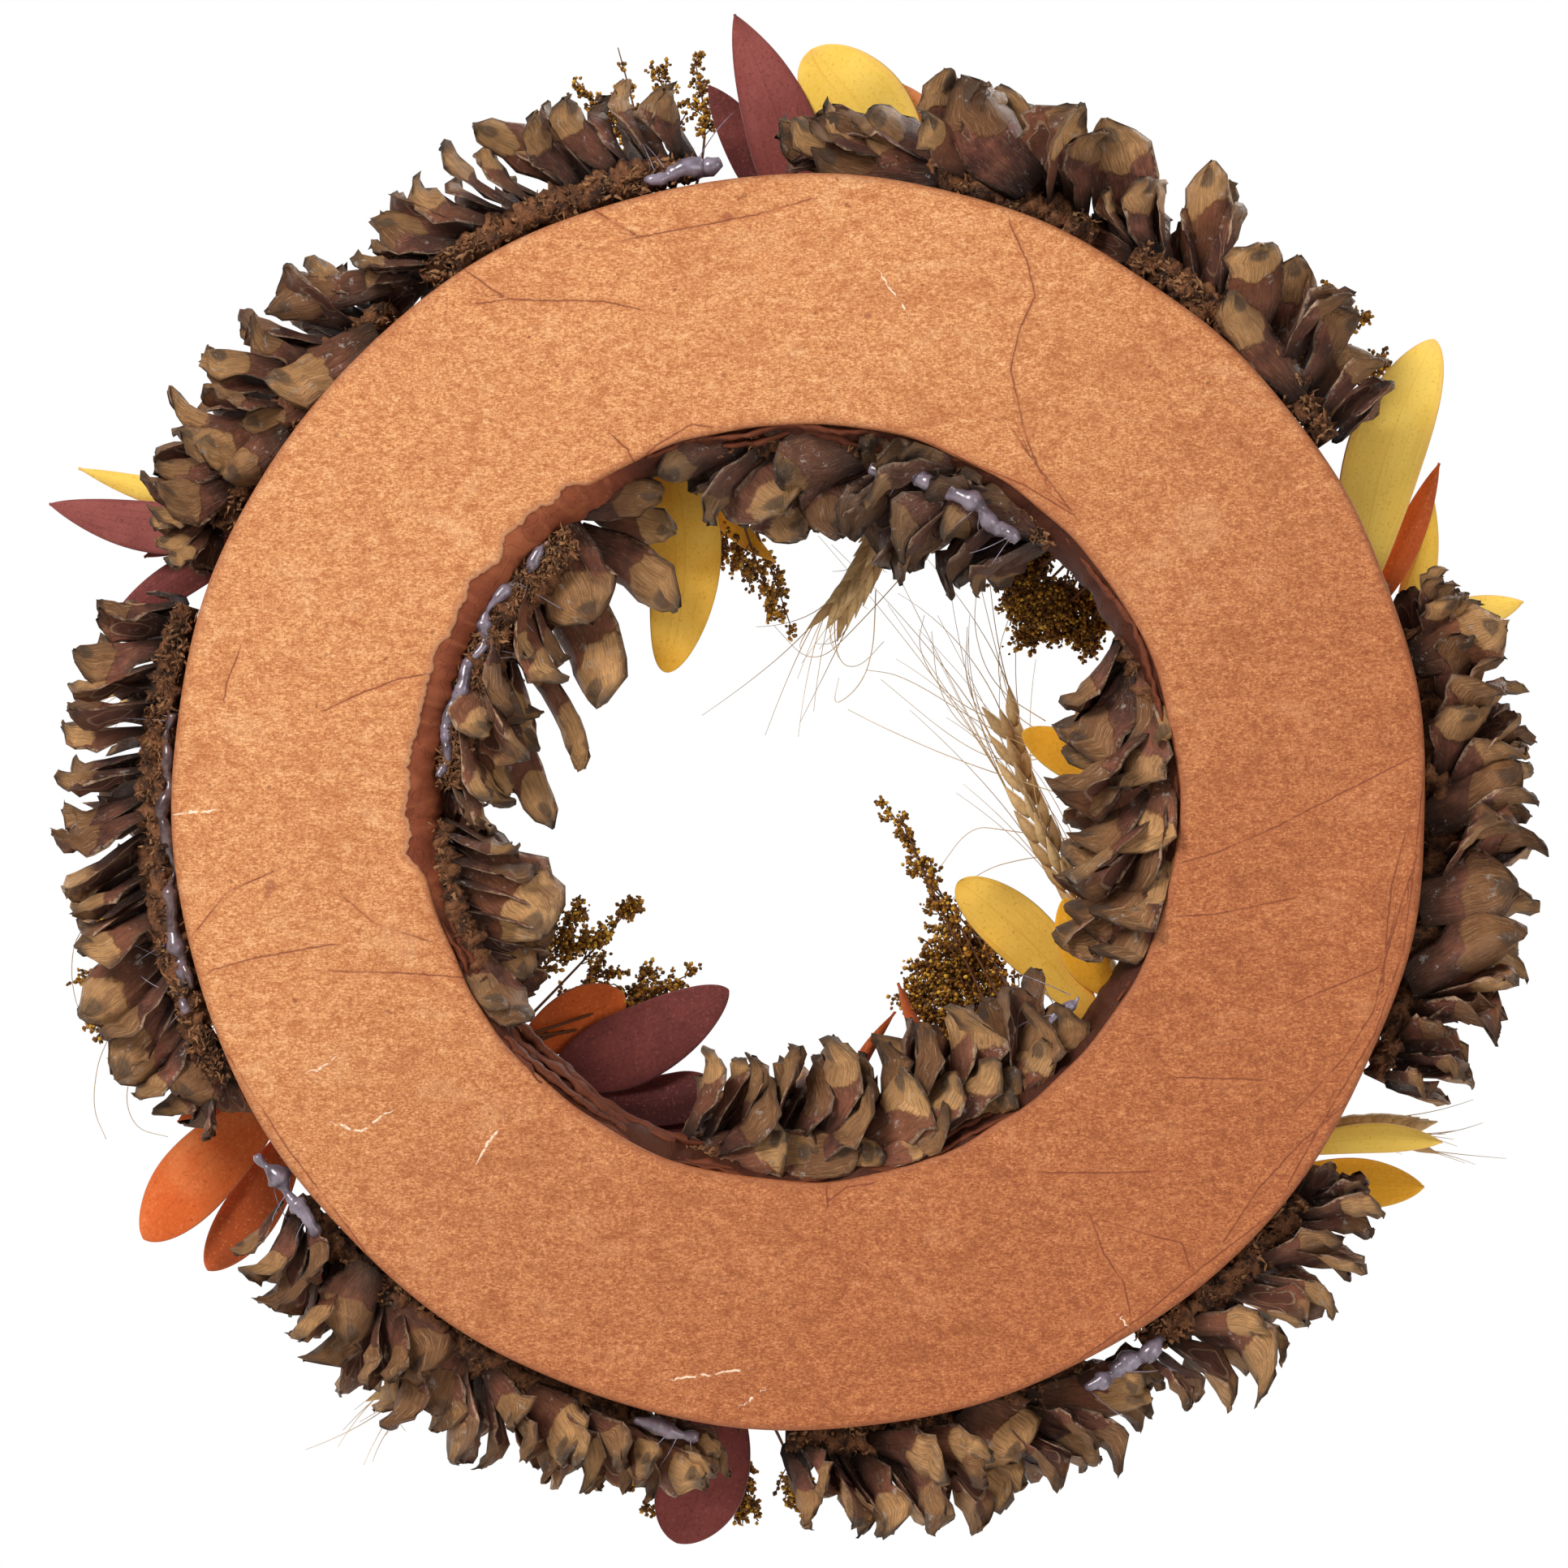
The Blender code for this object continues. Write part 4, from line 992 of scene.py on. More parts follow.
def makeFrontCone(name, seed):
    # as a wall cone, but its axis lies on the ring's face and its scales fan out round straight forwards
    cone = frontCones[name]
    start, end, low, high, shallow, deep = arcOf(name)
    rng = np.random.default_rng(seed)
    middle = (low + high) / 2
    count = int(np.radians(end - start) * middle / (1.15 * mm))
    angle, along, fan = goldenFan(start, end, cone["tip"], count, seed)
    keep = np.abs(fan) < 100
    angle, along, fan = angle[keep], along[keep], fan[keep]
    size = np.interp(along, [0, 0.12, 0.3, 0.7, 0.9, 1], [0.6, 0.92, 1.02, 1.0, 0.84, 0.55])
    size = size * rng.uniform(0.9, 1.1, len(along))
    lean = np.radians(leanAlong(cone, along) + rng.uniform(-7, 7, len(along)))
    out, tangent = coneAxes(angle, True)
    tangent = tangent * cone["tip"]
    turn = np.radians(fan)[:, None]
    radial = np.sin(turn) * out + np.cos(turn) * np.array([0, 1.0, 0])
    room = (deep - shallow - 16 * mm) / (scale["length"] * size)
    lean = np.maximum(lean, np.arccos(np.clip(room, 0.05, 1)))[:, None]
    ahead = np.cos(lean) * radial + np.sin(lean) * tangent
    outer = np.sin(lean) * radial - np.cos(lean) * tangent
    base = around(angle, middle, shallow + 9 * mm) + radial * 4 * mm
    length, width = scale["length"] * size, scale["width"] * size
    scales = scaleTubes(base, ahead, outer, length, width, seed, coneShade=cone["shade"])
    spots = np.linspace(start + 1, end - 1, 40)
    thickness = np.sin(np.linspace(0.12, np.pi - 0.12, len(spots))) ** 0.3 * (7 * mm)
    path = around(spots, middle, shallow + 8.2 * mm)
    body = sweep(path, thickness, 14, side=np.array([0, 1.0, 0]))
    body = body + unit(body - path[None, :, None]) * (0.6 * mm * waves(body, 4.5 * mm, seed + 7))[..., None]
    makePiece(name + "_scales", [scales], coneWood, "cone", [name])
    makePiece(name + "_core", [tube(body, fleck=0.0)], coneCore, "cone")


for coneNumber, coneName in enumerate(frontCones):
    makeFrontCone(coneName, 300 + coneNumber * 7)
print("front cones ready")

leafForm = {"rows": 44, "sides": 22, "thickness": 0.55 * mm, "rootIn": 5.6 * mm}
# each leaf: its dye, the leaf it lies beside where it has no node of its own, place (root angle, turn from
# straight out), size (length and width in mm), point (0.5 round, 1 sharp), where along it is widest, sideways
# bow and curl forwards in mm, fold along the middle, tone (0 dark, 1 pale), mm in front of its node's middle
leafColumns = ("dye", "beside", "place", "size", "point", "widest", "bow", "curl", "fold", "tone",
               "forward")
leafRows = {
    "burgundy_leaf_top": ("burgundy", None, (89.6, 20), (47, 17), 0.85, 0.3, -1.5, -3, 0.05, 0.62, 0),
    "burgundy_leaf_top_edge": ("burgundy", "burgundy_leaf_top", (85.9, 28), (38, 5), 0.9, 0.5, 1, 2, 0.4,
                               0.5, -1.5),
    "burgundy_leaf_top_under": ("burgundy", "burgundy_leaf_top", (92.0, 27), (33, 11), 0.8, 0.4, -1, 2, 0.1,
                                0.2, 2.2),
    "yellow_leaf_top": ("yellow", None, (78.6, 43), (46, 22), 0.5, 0.62, -3, -3, 0.05, 0.8, 0),
    "orange_leaf_top": ("orange", None, (69.4, 53), (45, 10), 0.8, 0.55, -1, 2, 0.1, 1.0, 0),
    "yellow_leaf_right": ("yellow", None, (19.4, 55), (63, 18), 0.6, 0.58, 3.5, -4, 0.06, 0.85, 0),
    "rust_leaf_right": ("orange", "yellow_leaf_right", (17.5, 47), (41, 7), 0.9, 0.5, -1, 1, 0.2, 0.35,
                        3.2),
    "yellow_leaf_right_edge": ("yellow", "yellow_leaf_right", (9.9, 67), (51, 8), 0.8, 0.5, -2.5, 2, 0.2,
                               0.6, 4.4),
    "yellow_leaf_far_right": ("yellow", None, (13.5, 9), (37, 9), 0.8, 0.6, 2, 0, 0.1, 0.8, 0),
    "yellow_leaf_low_right": ("gold", None, (318.4, 44), (42, 12), 0.75, 0.6, 1.5, 1, 0.08, 0.5, 0),
    "yellow_leaf_low_right_edge": ("yellow", "yellow_leaf_low_right", (323.7, 40), (38, 7), 0.8, 0.6, 2, 0,
                                   0.2, 0.8, -1.6),
    "burgundy_leaf_bottom": ("burgundy", None, (263.4, -13), (37, 20), 0.55, 0.62, 1, -2, 0.06, 0.42, 0),
    "orange_leaf_low_left": ("orange", None, (209.7, 16), (46, 17), 0.6, 0.6, -1.5, -2, 0.06, 0.6, 0),
    "orange_leaf_low_left_under": ("orange", "orange_leaf_low_left", (212.5, 26), (41, 13), 0.6, 0.6, 1.5,
                                   2, 0.1, 0.1, 2.4),
    "brown_leaf_low_left": ("orange", "orange_leaf_low_left", (207.3, 0), (25, 7), 0.8, 0.5, 0, 1, 0.1, 0.0,
                            3.6),
    "burgundy_leaf_left": ("burgundy", None, (151.8, 24), (52, 12), 0.85, 0.5, 3.5, -3, 0.08, 0.75, 0),
    "burgundy_leaf_left_low": ("burgundy", "burgundy_leaf_left", (149.4, 52), (36, 8), 0.9, 0.5, -1, 1,
                               0.15, 0.35, 1.6),
    "burgundy_leaf_left_lobe": ("burgundy", "burgundy_leaf_left", (153.2, 57), (45, 9), 0.85, 0.55, -2, 3,
                                0.15, 0.3, 3.0),
    "yellow_leaf_left": ("yellow", None, (150.4, 18.5), (48, 7), 0.9, 0.45, 2, -2, 0.2, 0.85, 0),
    "orange_leaf_left": ("orange", None, (143.8, 49), (36, 9), 0.7, 0.5, 1, 2, 0.1, 0.55, 0),
    "yellow_leaf_inner_top": ("gold", None, (110, 159), (51, 17), 0.5, 0.36, 3.5, -3, 0.06, 0.72, 0),
    "yellow_leaf_inner_top_small": ("gold", "yellow_leaf_inner_top", (107, 199), (33, 6), 0.8, 0.5, -3, 2,
                                    0.2, 0.2, 2.2),
    "yellow_leaf_inner_right": ("gold", None, (1.6, 157), (37, 11), 0.6, 0.6, 1, -2, 0.1, 0.5, 0),
    "gold_leaf_inner_right": ("gold", None, (323.4, 171), (46, 14.5), 0.5, 0.62, -2, -3, 0.06, 0.85, 0),
    "gold_leaf_inner_right_low": ("gold", "gold_leaf_inner_right", (328, 149), (26, 10), 0.6, 0.5, 2, 1,
                                  0.1, 0.5, -1.7),
    "burgundy_leaf_inner_left": ("burgundy", None, (228.1, 158.5), (46, 17.5), 0.62, 0.4, -2, -3, 0.06,
                                 0.25, 0),
    "burgundy_leaf_inner_lobe": ("burgundy", "burgundy_leaf_inner_left", (233, 131), (34, 12), 0.75, 0.7,
                                 -2, 1, 0.2, 0.05, 2.0),
    "burgundy_leaf_inner_low": ("burgundy", "burgundy_leaf_inner_left", (232, 107), (37, 19), 0.7, 0.5, -2,
                                2, 0.25, 0.0, 4.0),
    "orange_leaf_inner_left": ("orange", None, (221.5, 165), (27, 14), 0.6, 0.6, 0, 0, 0.1, 0.5, 0),
    "rust_leaf_inner_bottom": ("orange", "burgundy_leaf_inner_left", (276, 154), (39, 3.4), 0.9, 0.6, 4, 2,
                               0.4, 0.2, 5.0),
    "rust_leaf_inner_low_right": ("orange", "gold_leaf_inner_right", (297, 178), (38, 4), 0.8, 0.5, 1, 2,
                                  0.4, 0.3, 4.0),
}
leaves = {name: dict(zip(leafColumns, row)) for name, row in leafRows.items()}


def leafTube(root, ahead, depth, leaf, seed):
    # centre line = root + ahead * length * s + side * bow * sin(pi s) + forwards * curl * s^2; the half width is
    # two arcs that meet where the leaf is widest; the section is a thin oval, folded along its middle and rippled
    length, width = leaf["size"][0] * mm, leaf["size"][1] * mm
    s = (1 - np.cos(np.linspace(0.02, np.pi - 0.03, leafForm["rows"]))) / 2
    s = (s - s[0]) / (s[-1] - s[0])
    widest = leaf["widest"]
    toTip = np.clip((s - widest) / (1 - widest), 0, 1)
    toRoot = np.clip(1 - s / widest, 0, 1)
    half = width / 2 * np.where(s > widest, (1 - toTip ** 2) ** leaf["point"],
                                (1 - toRoot ** 2) ** 0.9 * 0.86 + 0.14)
    half = np.maximum(half, 0.35 * mm)
    side = np.array([-ahead[2], 0, ahead[0]])
    line = (root + ahead * (length * s)[:, None] + side * (leaf["bow"] * mm * np.sin(np.pi * s))[:, None]
            + np.array([0, 1.0, 0]) * (leaf["curl"] * mm * s ** 2)[:, None])
    turn = np.linspace(0, 2 * np.pi, leafForm["sides"], endpoint=False)[None]
    across, face = np.cos(turn), np.sin(turn)
    flatPlace = np.stack(np.broadcast_arrays(s[:, None] * length, across * half[:, None], 0 * across), -1)
    ripple = (0.35 * mm * waves(flatPlace, 17 * mm, seed) * (0.3 + np.abs(across))
              + 0.05 * mm * waves(flatPlace, 3 * mm, seed + 1))
    twist = 0.10 * np.sin(2.1 * s + seed)[:, None]
    out = (leafForm["thickness"] / 2 * face + leaf["fold"] * np.abs(across) * half[:, None] * 2 + ripple
           + twist * across * half[:, None] - 0.12 * mm * np.exp(-(across / 0.12) ** 2) * np.sign(face))
    points = (line[:, None] + side * (across * half[:, None])[..., None]
              + np.array([0, 1.0, 0]) * (depth + out)[..., None])
    return tube(points, alongLeaf=s[:, None], acrossLeaf=across, leafTone=leaf["tone"])


def makeLeaf(name, seed):
    # a leaf from inside the wall's edge towards its tip, at the middle depth of its node
    leaf = leaves[name]
    low, _, shallow, deep = arcOf(leaf["beside"] or name)[2:]
    inner = low < ring["inner"]
    rootRadius = ring["inner"] + leafForm["rootIn"] if inner else ring["outer"] - leafForm["rootIn"]
    rootAngle, turn = leaf["place"]
    root = around(rootAngle, rootRadius, 0)
    toTip = np.radians(rootAngle + turn)
    ahead = np.array([np.cos(toTip), 0, np.sin(toTip)])
    depth = (shallow + deep) / 2 + leaf["forward"] * mm
    part = leafTube(root, ahead, depth, leaf, seed)
    replaced = [] if leaf["beside"] else [name]
    makePiece(name + "_blade", [part], leafDyes[leaf["dye"]], leaf["dye"] + "_leaf", replaced)


# leaves on the front between its cones: root angle, distance in mm, turn from straight out, length, width, dye
frontSprigs = [
    (90, 106, 32, 36, 13, "burgundy"), (88, 108, -26, 34, 14, "yellow"), (91, 112, 168, 32, 12, "orange"),
    (127, 106, 20, 35, 14, "orange"), (125, 108, -32, 33, 12, "burgundy"),
               (126, 113, 190, 31, 13, "yellow"),
    (166, 106, 30, 36, 14, "yellow"), (165, 108, -24, 34, 13, "orange"),
               (167, 112, 176, 32, 12, "burgundy"),
    (213, 106, 26, 34, 13, "burgundy"), (212, 108, -30, 35, 14, "yellow"),
               (214, 113, 182, 31, 12, "orange"),
    (262, 106, 30, 35, 14, "orange"), (261, 108, -28, 34, 13, "burgundy"),
               (263, 112, 170, 32, 13, "yellow"),
    (325, 106, 28, 36, 14, "yellow"), (324, 108, -30, 34, 13, "burgundy"),
               (326, 113, 186, 31, 12, "orange"),
    (27, 106, 30, 35, 13, "burgundy"), (26, 108, -26, 34, 14, "orange"), (28, 112, 174, 32, 13, "yellow"),
]


def makeFrontSprigs():
    # the leaves of one dye are one piece, each laid just in front of the ring's crown
    tubes = {}
    for number, (rootAngle, distance, turn, length, width, dye) in enumerate(frontSprigs):
        toTip = np.radians(rootAngle + turn)
        leaf = dict(size=(length, width), point=0.7, widest=0.5, bow=2 - number % 3 * 2, curl=8, fold=0.08,
                    tone=0.3 + number % 5 * 0.1)
        depth = ring["front"] + (2.2 + number % 3 * 1.0) * mm
        root, ahead = around(rootAngle, distance * mm, 0), np.array([np.cos(toTip), 0, np.sin(toTip)])
        tubes.setdefault(dye, []).append(leafTube(root, ahead, depth, leaf, 900 + number))
    for dye, parts in tubes.items():
        makePiece("front_sprigs_" + dye, parts, leafDyes[dye], dye + "_leaf")


# each dye: dark, middle and pale colour, speckle colour, colour towards the edges
leafColours = {
    "burgundy": [(78, 32, 30), (134, 64, 58), (168, 96, 90), (62, 26, 26), (112, 48, 46)],
    "yellow": [(222, 162, 40), (250, 198, 70), (255, 216, 104), (222, 150, 40), (246, 190, 110)],
    "gold": [(194, 122, 14), (230, 160, 34), (246, 196, 84), (190, 126, 26), (226, 172, 60)],
    "orange": [(150, 64, 20), (206, 92, 34), (232, 148, 90), (140, 56, 20), (196, 96, 44)],
}


def leafFinish(dye):
    dark, middle, pale, speckle, edge = [colour(*value) for value in leafColours[dye]]

    def recipe(wire):
        place = wire.objectPlace()
        along, across = wire.attribute("alongLeaf"), wire.attribute("acrossLeaf")
        tone = wire.attribute("leafTone")
        clouds, felt = wire.noise(place, 60.0, 4, 0.6), wire.noise(place, 1300.0, 3, 0.7)
        drift = (tone + clouds * 0.7 - 0.35).between(0.0, 0.5)
        base = drift.blend(dark, middle)
        base = (tone + clouds * 0.7 - 0.35).between(0.5, 1.0).blend(base, pale)
        base = (felt.between(0.55, 0.7) * 0.5).blend(base, speckle)
        base = (felt.between(0.3, 0.45, 1.0, 0.0) * 0.4).blend(base, pale)
        rim = (wire.maths("ABSOLUTE", across) + clouds * 0.2).between(0.88, 1.1) + along.between(0.94, 1.0)
        base = (wire.maths("MINIMUM", rim, 1.0) * 0.5).blend(base, edge)
        veins = wire.noise(wire.pack(across * 7.0, along * 1.3, tone * 9), 1.0, 3, 0.6)
        base = (veins.between(0.55, 0.75) * 0.3).blend(base, dark)
        rib = wire.maths("ABSOLUTE", across).between(0.0, 0.06, 1.0, 0.0)
        base = (rib * 0.18).blend(base, dark)
        # painted shade: each leaf darkens towards its root, where it comes out from behind the ring
        base = (along.between(0.0, 0.25, 0.6, 0.0)).blend(base, dark)
        return {"Base Color": base, "Roughness": felt * 0.15 + 0.72,
                "bump": (felt * 0.5 + veins - rib * 0.3, 0.35, 0.0004)}

    return newFinish(dye + "LeafDye", recipe, Specular_IOR_Level=0.2, Sheen_Weight=0.25,
                     Sheen_Roughness=0.5)


leafDyes = {dye: leafFinish(dye) for dye in leafColours}
for leafNumber, leafName in enumerate(leaves):
    makeLeaf(leafName, 500 + leafNumber * 3)
makeFrontSprigs()
print("leaves ready")

# each sprig: where its stem starts, where it ends (angle, mm from the ring's centre), how wide its side twigs
# spread in mm, how many side twigs; a bunch is a few sprigs that start together
floretForm = {"twigRadius": 0.16 * mm, "stemRadius": 0.42 * mm, "budRadius": 0.52 * mm, "budsPerTwig": 11}
floretBunches = {
    "floret_bunch_1": [(101, 72, 92, 39, 4, 17), (102, 74, 97, 44, 5, 18), (104, 78, 103, 54, 8, 34),
                       (106, 80, 110, 60, 6, 22)],
    "floret_bunch_2": [(40, 86, 34, 74, 9, 80), (42, 86, 42, 68, 9, 90), (43, 86, 47, 70, 7, 60),
                       (34, 86, 29, 76, 7, 60),
                       (43, 86, 38, 74, 9, 90), (37, 86, 36, 64, 7, 60), (45, 86, 45, 80, 6, 60),
                       (37, 86, 34, 81, 6, 60)],
    "floret_bunch_3": [(311, 84, 4, 19, 4, 24), (309, 82, 350, 24, 4, 20), (311, 84, 330, 30, 6, 26),
                       (306, 84, 300, 52, 10, 70),
                       (312, 84, 316, 46, 11, 80), (316, 84, 322, 54, 10, 60), (308, 84, 308, 48, 11, 80),
                       (303, 84, 296, 62, 9, 50), (312, 84, 322, 40, 9, 46)],
    "floret_bunch_4": [(220, 84, 238, 47, 5, 24), (221, 82, 228, 52, 7, 36), (218, 82, 214, 55, 7, 40),
                       (222, 84, 221, 60, 9, 50),
                       (216, 82, 206, 56, 6, 30), (219, 84, 212, 46, 5, 26), (222, 84, 233, 58, 6, 30)],
    "floret_bunch_5": [(104, 140, 103.5, 180, 1.5, 5), (105, 140, 107, 172, 6, 20),
                       (103, 140, 101, 172, 6, 18),
                       (100, 140, 98, 173, 5, 22), (104, 140, 105, 168, 9, 36)],
    "floret_bunch_6": [(41, 140, 44, 171, 5, 20), (40, 140, 41, 172, 6, 34), (39, 140, 37, 170, 6, 36),
                       (38, 140, 35, 168, 5, 24),
                       (42, 140, 40, 164, 8, 40)],
    "floret_bunch_7": [(263, 140, 258, 168, 6, 20), (262, 140, 256, 162, 6, 26),
                       (265, 140, 266, 164, 8, 50),
                       (267, 140, 270, 162, 7, 40), (262, 140, 264, 158, 8, 40)],
    "floret_bunch_8": [(193, 140, 194, 172, 6, 26), (192, 140, 190, 166, 6, 30),
                       (194, 140, 198, 172, 6, 30), (193, 140, 192, 160, 8, 40)],
    "floret_sprig_low_right": [(324, 140, 327, 158, 3, 10)],
}


def budTubes(places, heads, radius):
    # a bud is three rings of five points: place + head * rise + out * radius * the ring's share
    rise = np.array([-0.9, 0.1, 1.0])[None, :, None, None]
    share = np.array([0.45, 1.0, 0.3])[None, :, None, None]
    side = unit(np.cross(heads, [0.3, 0.5, 0.81]))
    other = np.cross(heads, side)
    turn = np.linspace(0, 2 * np.pi, 5, endpoint=False)[None, None, :, None]
    out = side[:, None, None] * np.cos(turn) + other[:, None, None] * np.sin(turn)
    return places[:, None, None] + radius[:, None, None, None] * (heads[:, None, None] * rise + out * share)


def makeFlorets(name, seed):
    # stem = root + (tip - root) * s + bow * sin(pi s); twigs start along its outer part and splay out, and buds
    # sit along each twig, a little off it
    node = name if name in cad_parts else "floret_bunch_6"
    shallow, deep = arcOf(node)[4:]
    rng = np.random.default_rng(seed)
    tubes = []
    for start, startRadius, end, endRadius, spread, twigs in floretBunches[name]:
        rootDepth, tipDepth = shallow + 1.5 * mm, (shallow + deep) / 2 + rng.uniform(-4, 6) * mm
        root = around(start, startRadius * mm, rootDepth)
        tip = around(end, endRadius * mm, tipDepth)
        length = np.linalg.norm(tip - root)
        s = np.linspace(0, 1, 14)[:, None]
        bow = rng.normal(size=3) * np.array([1, 0.5, 1]) * length * 0.05
        stem = (root + (tip - root) * s + bow * np.sin(np.pi * s)
                + np.array([0, 1, 0]) * 3 * mm * np.sin(np.pi * s))
        tubes.append(tube(sweep(stem, floretForm["stemRadius"] * (1 - 0.7 * s[:, 0]), 6), bud=0.0,
                          budTone=0.3))
        share = rng.uniform(0.35, 1.0, twigs) ** 0.8
        foot = np.stack([np.interp(share, s[:, 0], stem[:, axis]) for axis in range(3)], -1)
        way = unit(tip - root)[None]
        splay = unit(rng.normal(size=(twigs, 3)) * np.array([1, 0.7, 1]))
        splay = splay - (splay * way).sum(-1, keepdims=True) * way
        ahead = unit(way * rng.uniform(0.5, 1.1, (twigs, 1)) + unit(splay))
        reach = spread * mm * (1.15 - 0.75 * share) * rng.uniform(0.5, 1.3, twigs)
        t = np.linspace(0, 1, 5)[None, :, None]
        stretch = reach[:, None, None]
        twig = (foot[:, None] + ahead[:, None] * stretch * t + way[:, None] * (stretch * 0.3) * t ** 2
                + rng.normal(size=(twigs, 5, 3)) * 0.18 * mm)
        tubes.append(tube(sweep(twig, floretForm["twigRadius"], 4), bud=0.0, budTone=0.3))
        each = floretForm["budsPerTwig"]
        spot = rng.uniform(0.25, 1.08, (twigs, each))
        place = (foot[:, None] + ahead[:, None] * (reach[:, None] * spot)[..., None]
                 + way[:, None] * (reach[:, None] * 0.3 * spot ** 2)[..., None])
        lean = unit(rng.normal(size=(twigs, each, 3)) + ahead[:, None] * 0.8)
        place = place + lean * rng.uniform(0.3, 1.5, (twigs, each, 1)) * mm
        radius = floretForm["budRadius"] * rng.uniform(0.55, 1.25, twigs * each)
        buds = budTubes(place.reshape(-1, 3), lean.reshape(-1, 3), radius)
        tubes.append(tube(buds, bud=1.0, budTone=rng.uniform(0, 1, (twigs * each, 1, 1))))
    makePiece(name + "_sprigs", tubes, floretDye, "floret", [name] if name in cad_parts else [])


def floretFinish():
    def recipe(wire):
        tone, bud = wire.attribute("budTone"), wire.attribute("bud")
        fine = wire.noise(wire.objectPlace(), 1200.0, 2, 0.6)
        buds = tone.between(0.0, 0.8).blend(colour(84, 52, 10), colour(160, 106, 24))
        buds = (tone.between(0.72, 1.0) * 0.85).blend(buds, colour(232, 180, 62))
        buds = (fine.between(0.5, 0.7) * 0.4).blend(buds, colour(78, 46, 12))
        base = bud.blend(colour(92, 52, 24), buds)
        return {"Base Color": base, "Roughness": fine * 0.2 + 0.6, "bump": (fine, 0.4, 0.0003)}

    return newFinish("floretDye", recipe, Specular_IOR_Level=0.3)


floretDye = floretFinish()
for bunchNumber, bunchName in enumerate(floretBunches):
    makeFlorets(bunchName, 700 + bunchNumber * 11)
print("florets ready")

earForm = {"grains": 26, "grainLength": 9.5 * mm, "grainWidth": 3.0 * mm, "awnRadius": 0.13 * mm,
           "stemRadius": 0.9 * mm}
# foot and tip of each ear (angle, mm from the ring's centre), how far its awns reach in mm and how they splay
barleyEars = {
    "barley_ear_1": dict(foot=(72, 74), tip=(79, 46), root=(78, 83), awns=19, splay=0.75, count=16),
    "barley_ear_2": dict(foot=(336, 76), tip=(21, 52), root=(331, 84), awns=44, splay=0.40, count=24),
    "barley_ear_3": dict(foot=(166, 142), tip=(170, 156), root=(166, 138), awns=9, splay=0.3, count=12),
    "barley_ear_4": dict(foot=(238, 144), tip=(236, 164), root=(238, 138), awns=16, splay=0.35, count=12),
    "barley_ear_5": dict(foot=(328, 144), tip=(331, 160), root=(328, 138), awns=12, splay=0.3, count=12),
}
# loose awns that curl out past the cones, as (angle, mm) from foot to tip, with their depth in mm
looseAwns = {
    "barley_ear_1": [((64, 62), (72, 42), (84, 31), (98, 41)), ((70, 52), (60, 34), (70, 22), (72, 30)),
                     ((80, 48), (76, 34), (66, 33), (62, 42))],
    "barley_ear_2": [((8, 62), (22, 46), (50, 38), (63, 34)), ((15, 58), (32, 42), (52, 44), (56, 52)),
                     ((18, 60), (30, 52), (44, 56), (50, 64)), ((0, 66), (12, 40), (40, 26), (62, 24)),
                     ((352, 64), (352, 48), (352, 40), (334, 36)),
                     ((350, 68), (346, 54), (338, 44), (322, 42)),
                     ((10, 62), (10, 50), (18, 40), (56, 34)), ((14, 60), (24, 52), (36, 56), (42, 66)),
                     ((12, 60), (20, 48), (34, 46), (46, 56)), ((9, 60), (18, 44), (36, 40), (52, 50))],
    "barley_ear_3": [((190, 150), (189, 168), (193, 174), (197.5, 174), (198.5, 170)),
                     ((196, 150), (198, 168), (203, 178), (206, 178)),
                     ((198, 150), (202, 168), (206, 172), (208, 165))],
    "barley_ear_4": [((226, 150), (229, 156), (232, 164), (237, 166)),
                     ((227, 150), (231, 160), (234, 168), (238, 172))],
    "barley_ear_5": [],
}


def smoothLine(places, rows):
    # a smooth line through a few places: their running average on a finer row of points
    places = np.array(places, float)
    spots = np.linspace(0, len(places) - 1, rows)
    line = np.stack([np.interp(spots, np.arange(len(places)),
                               places[:, axis]) for axis in range(places.shape[1])], 1)
    window = np.clip(np.minimum(np.arange(rows), np.arange(rows)[::-1]), 0, rows // (2 * len(places)) + 1)
    total = np.concatenate([[0 * line[0]], np.cumsum(line, 0)])
    index = np.arange(rows)
    return (total[index + window + 1] - total[index - window]) / (2 * window + 1)[:, None]


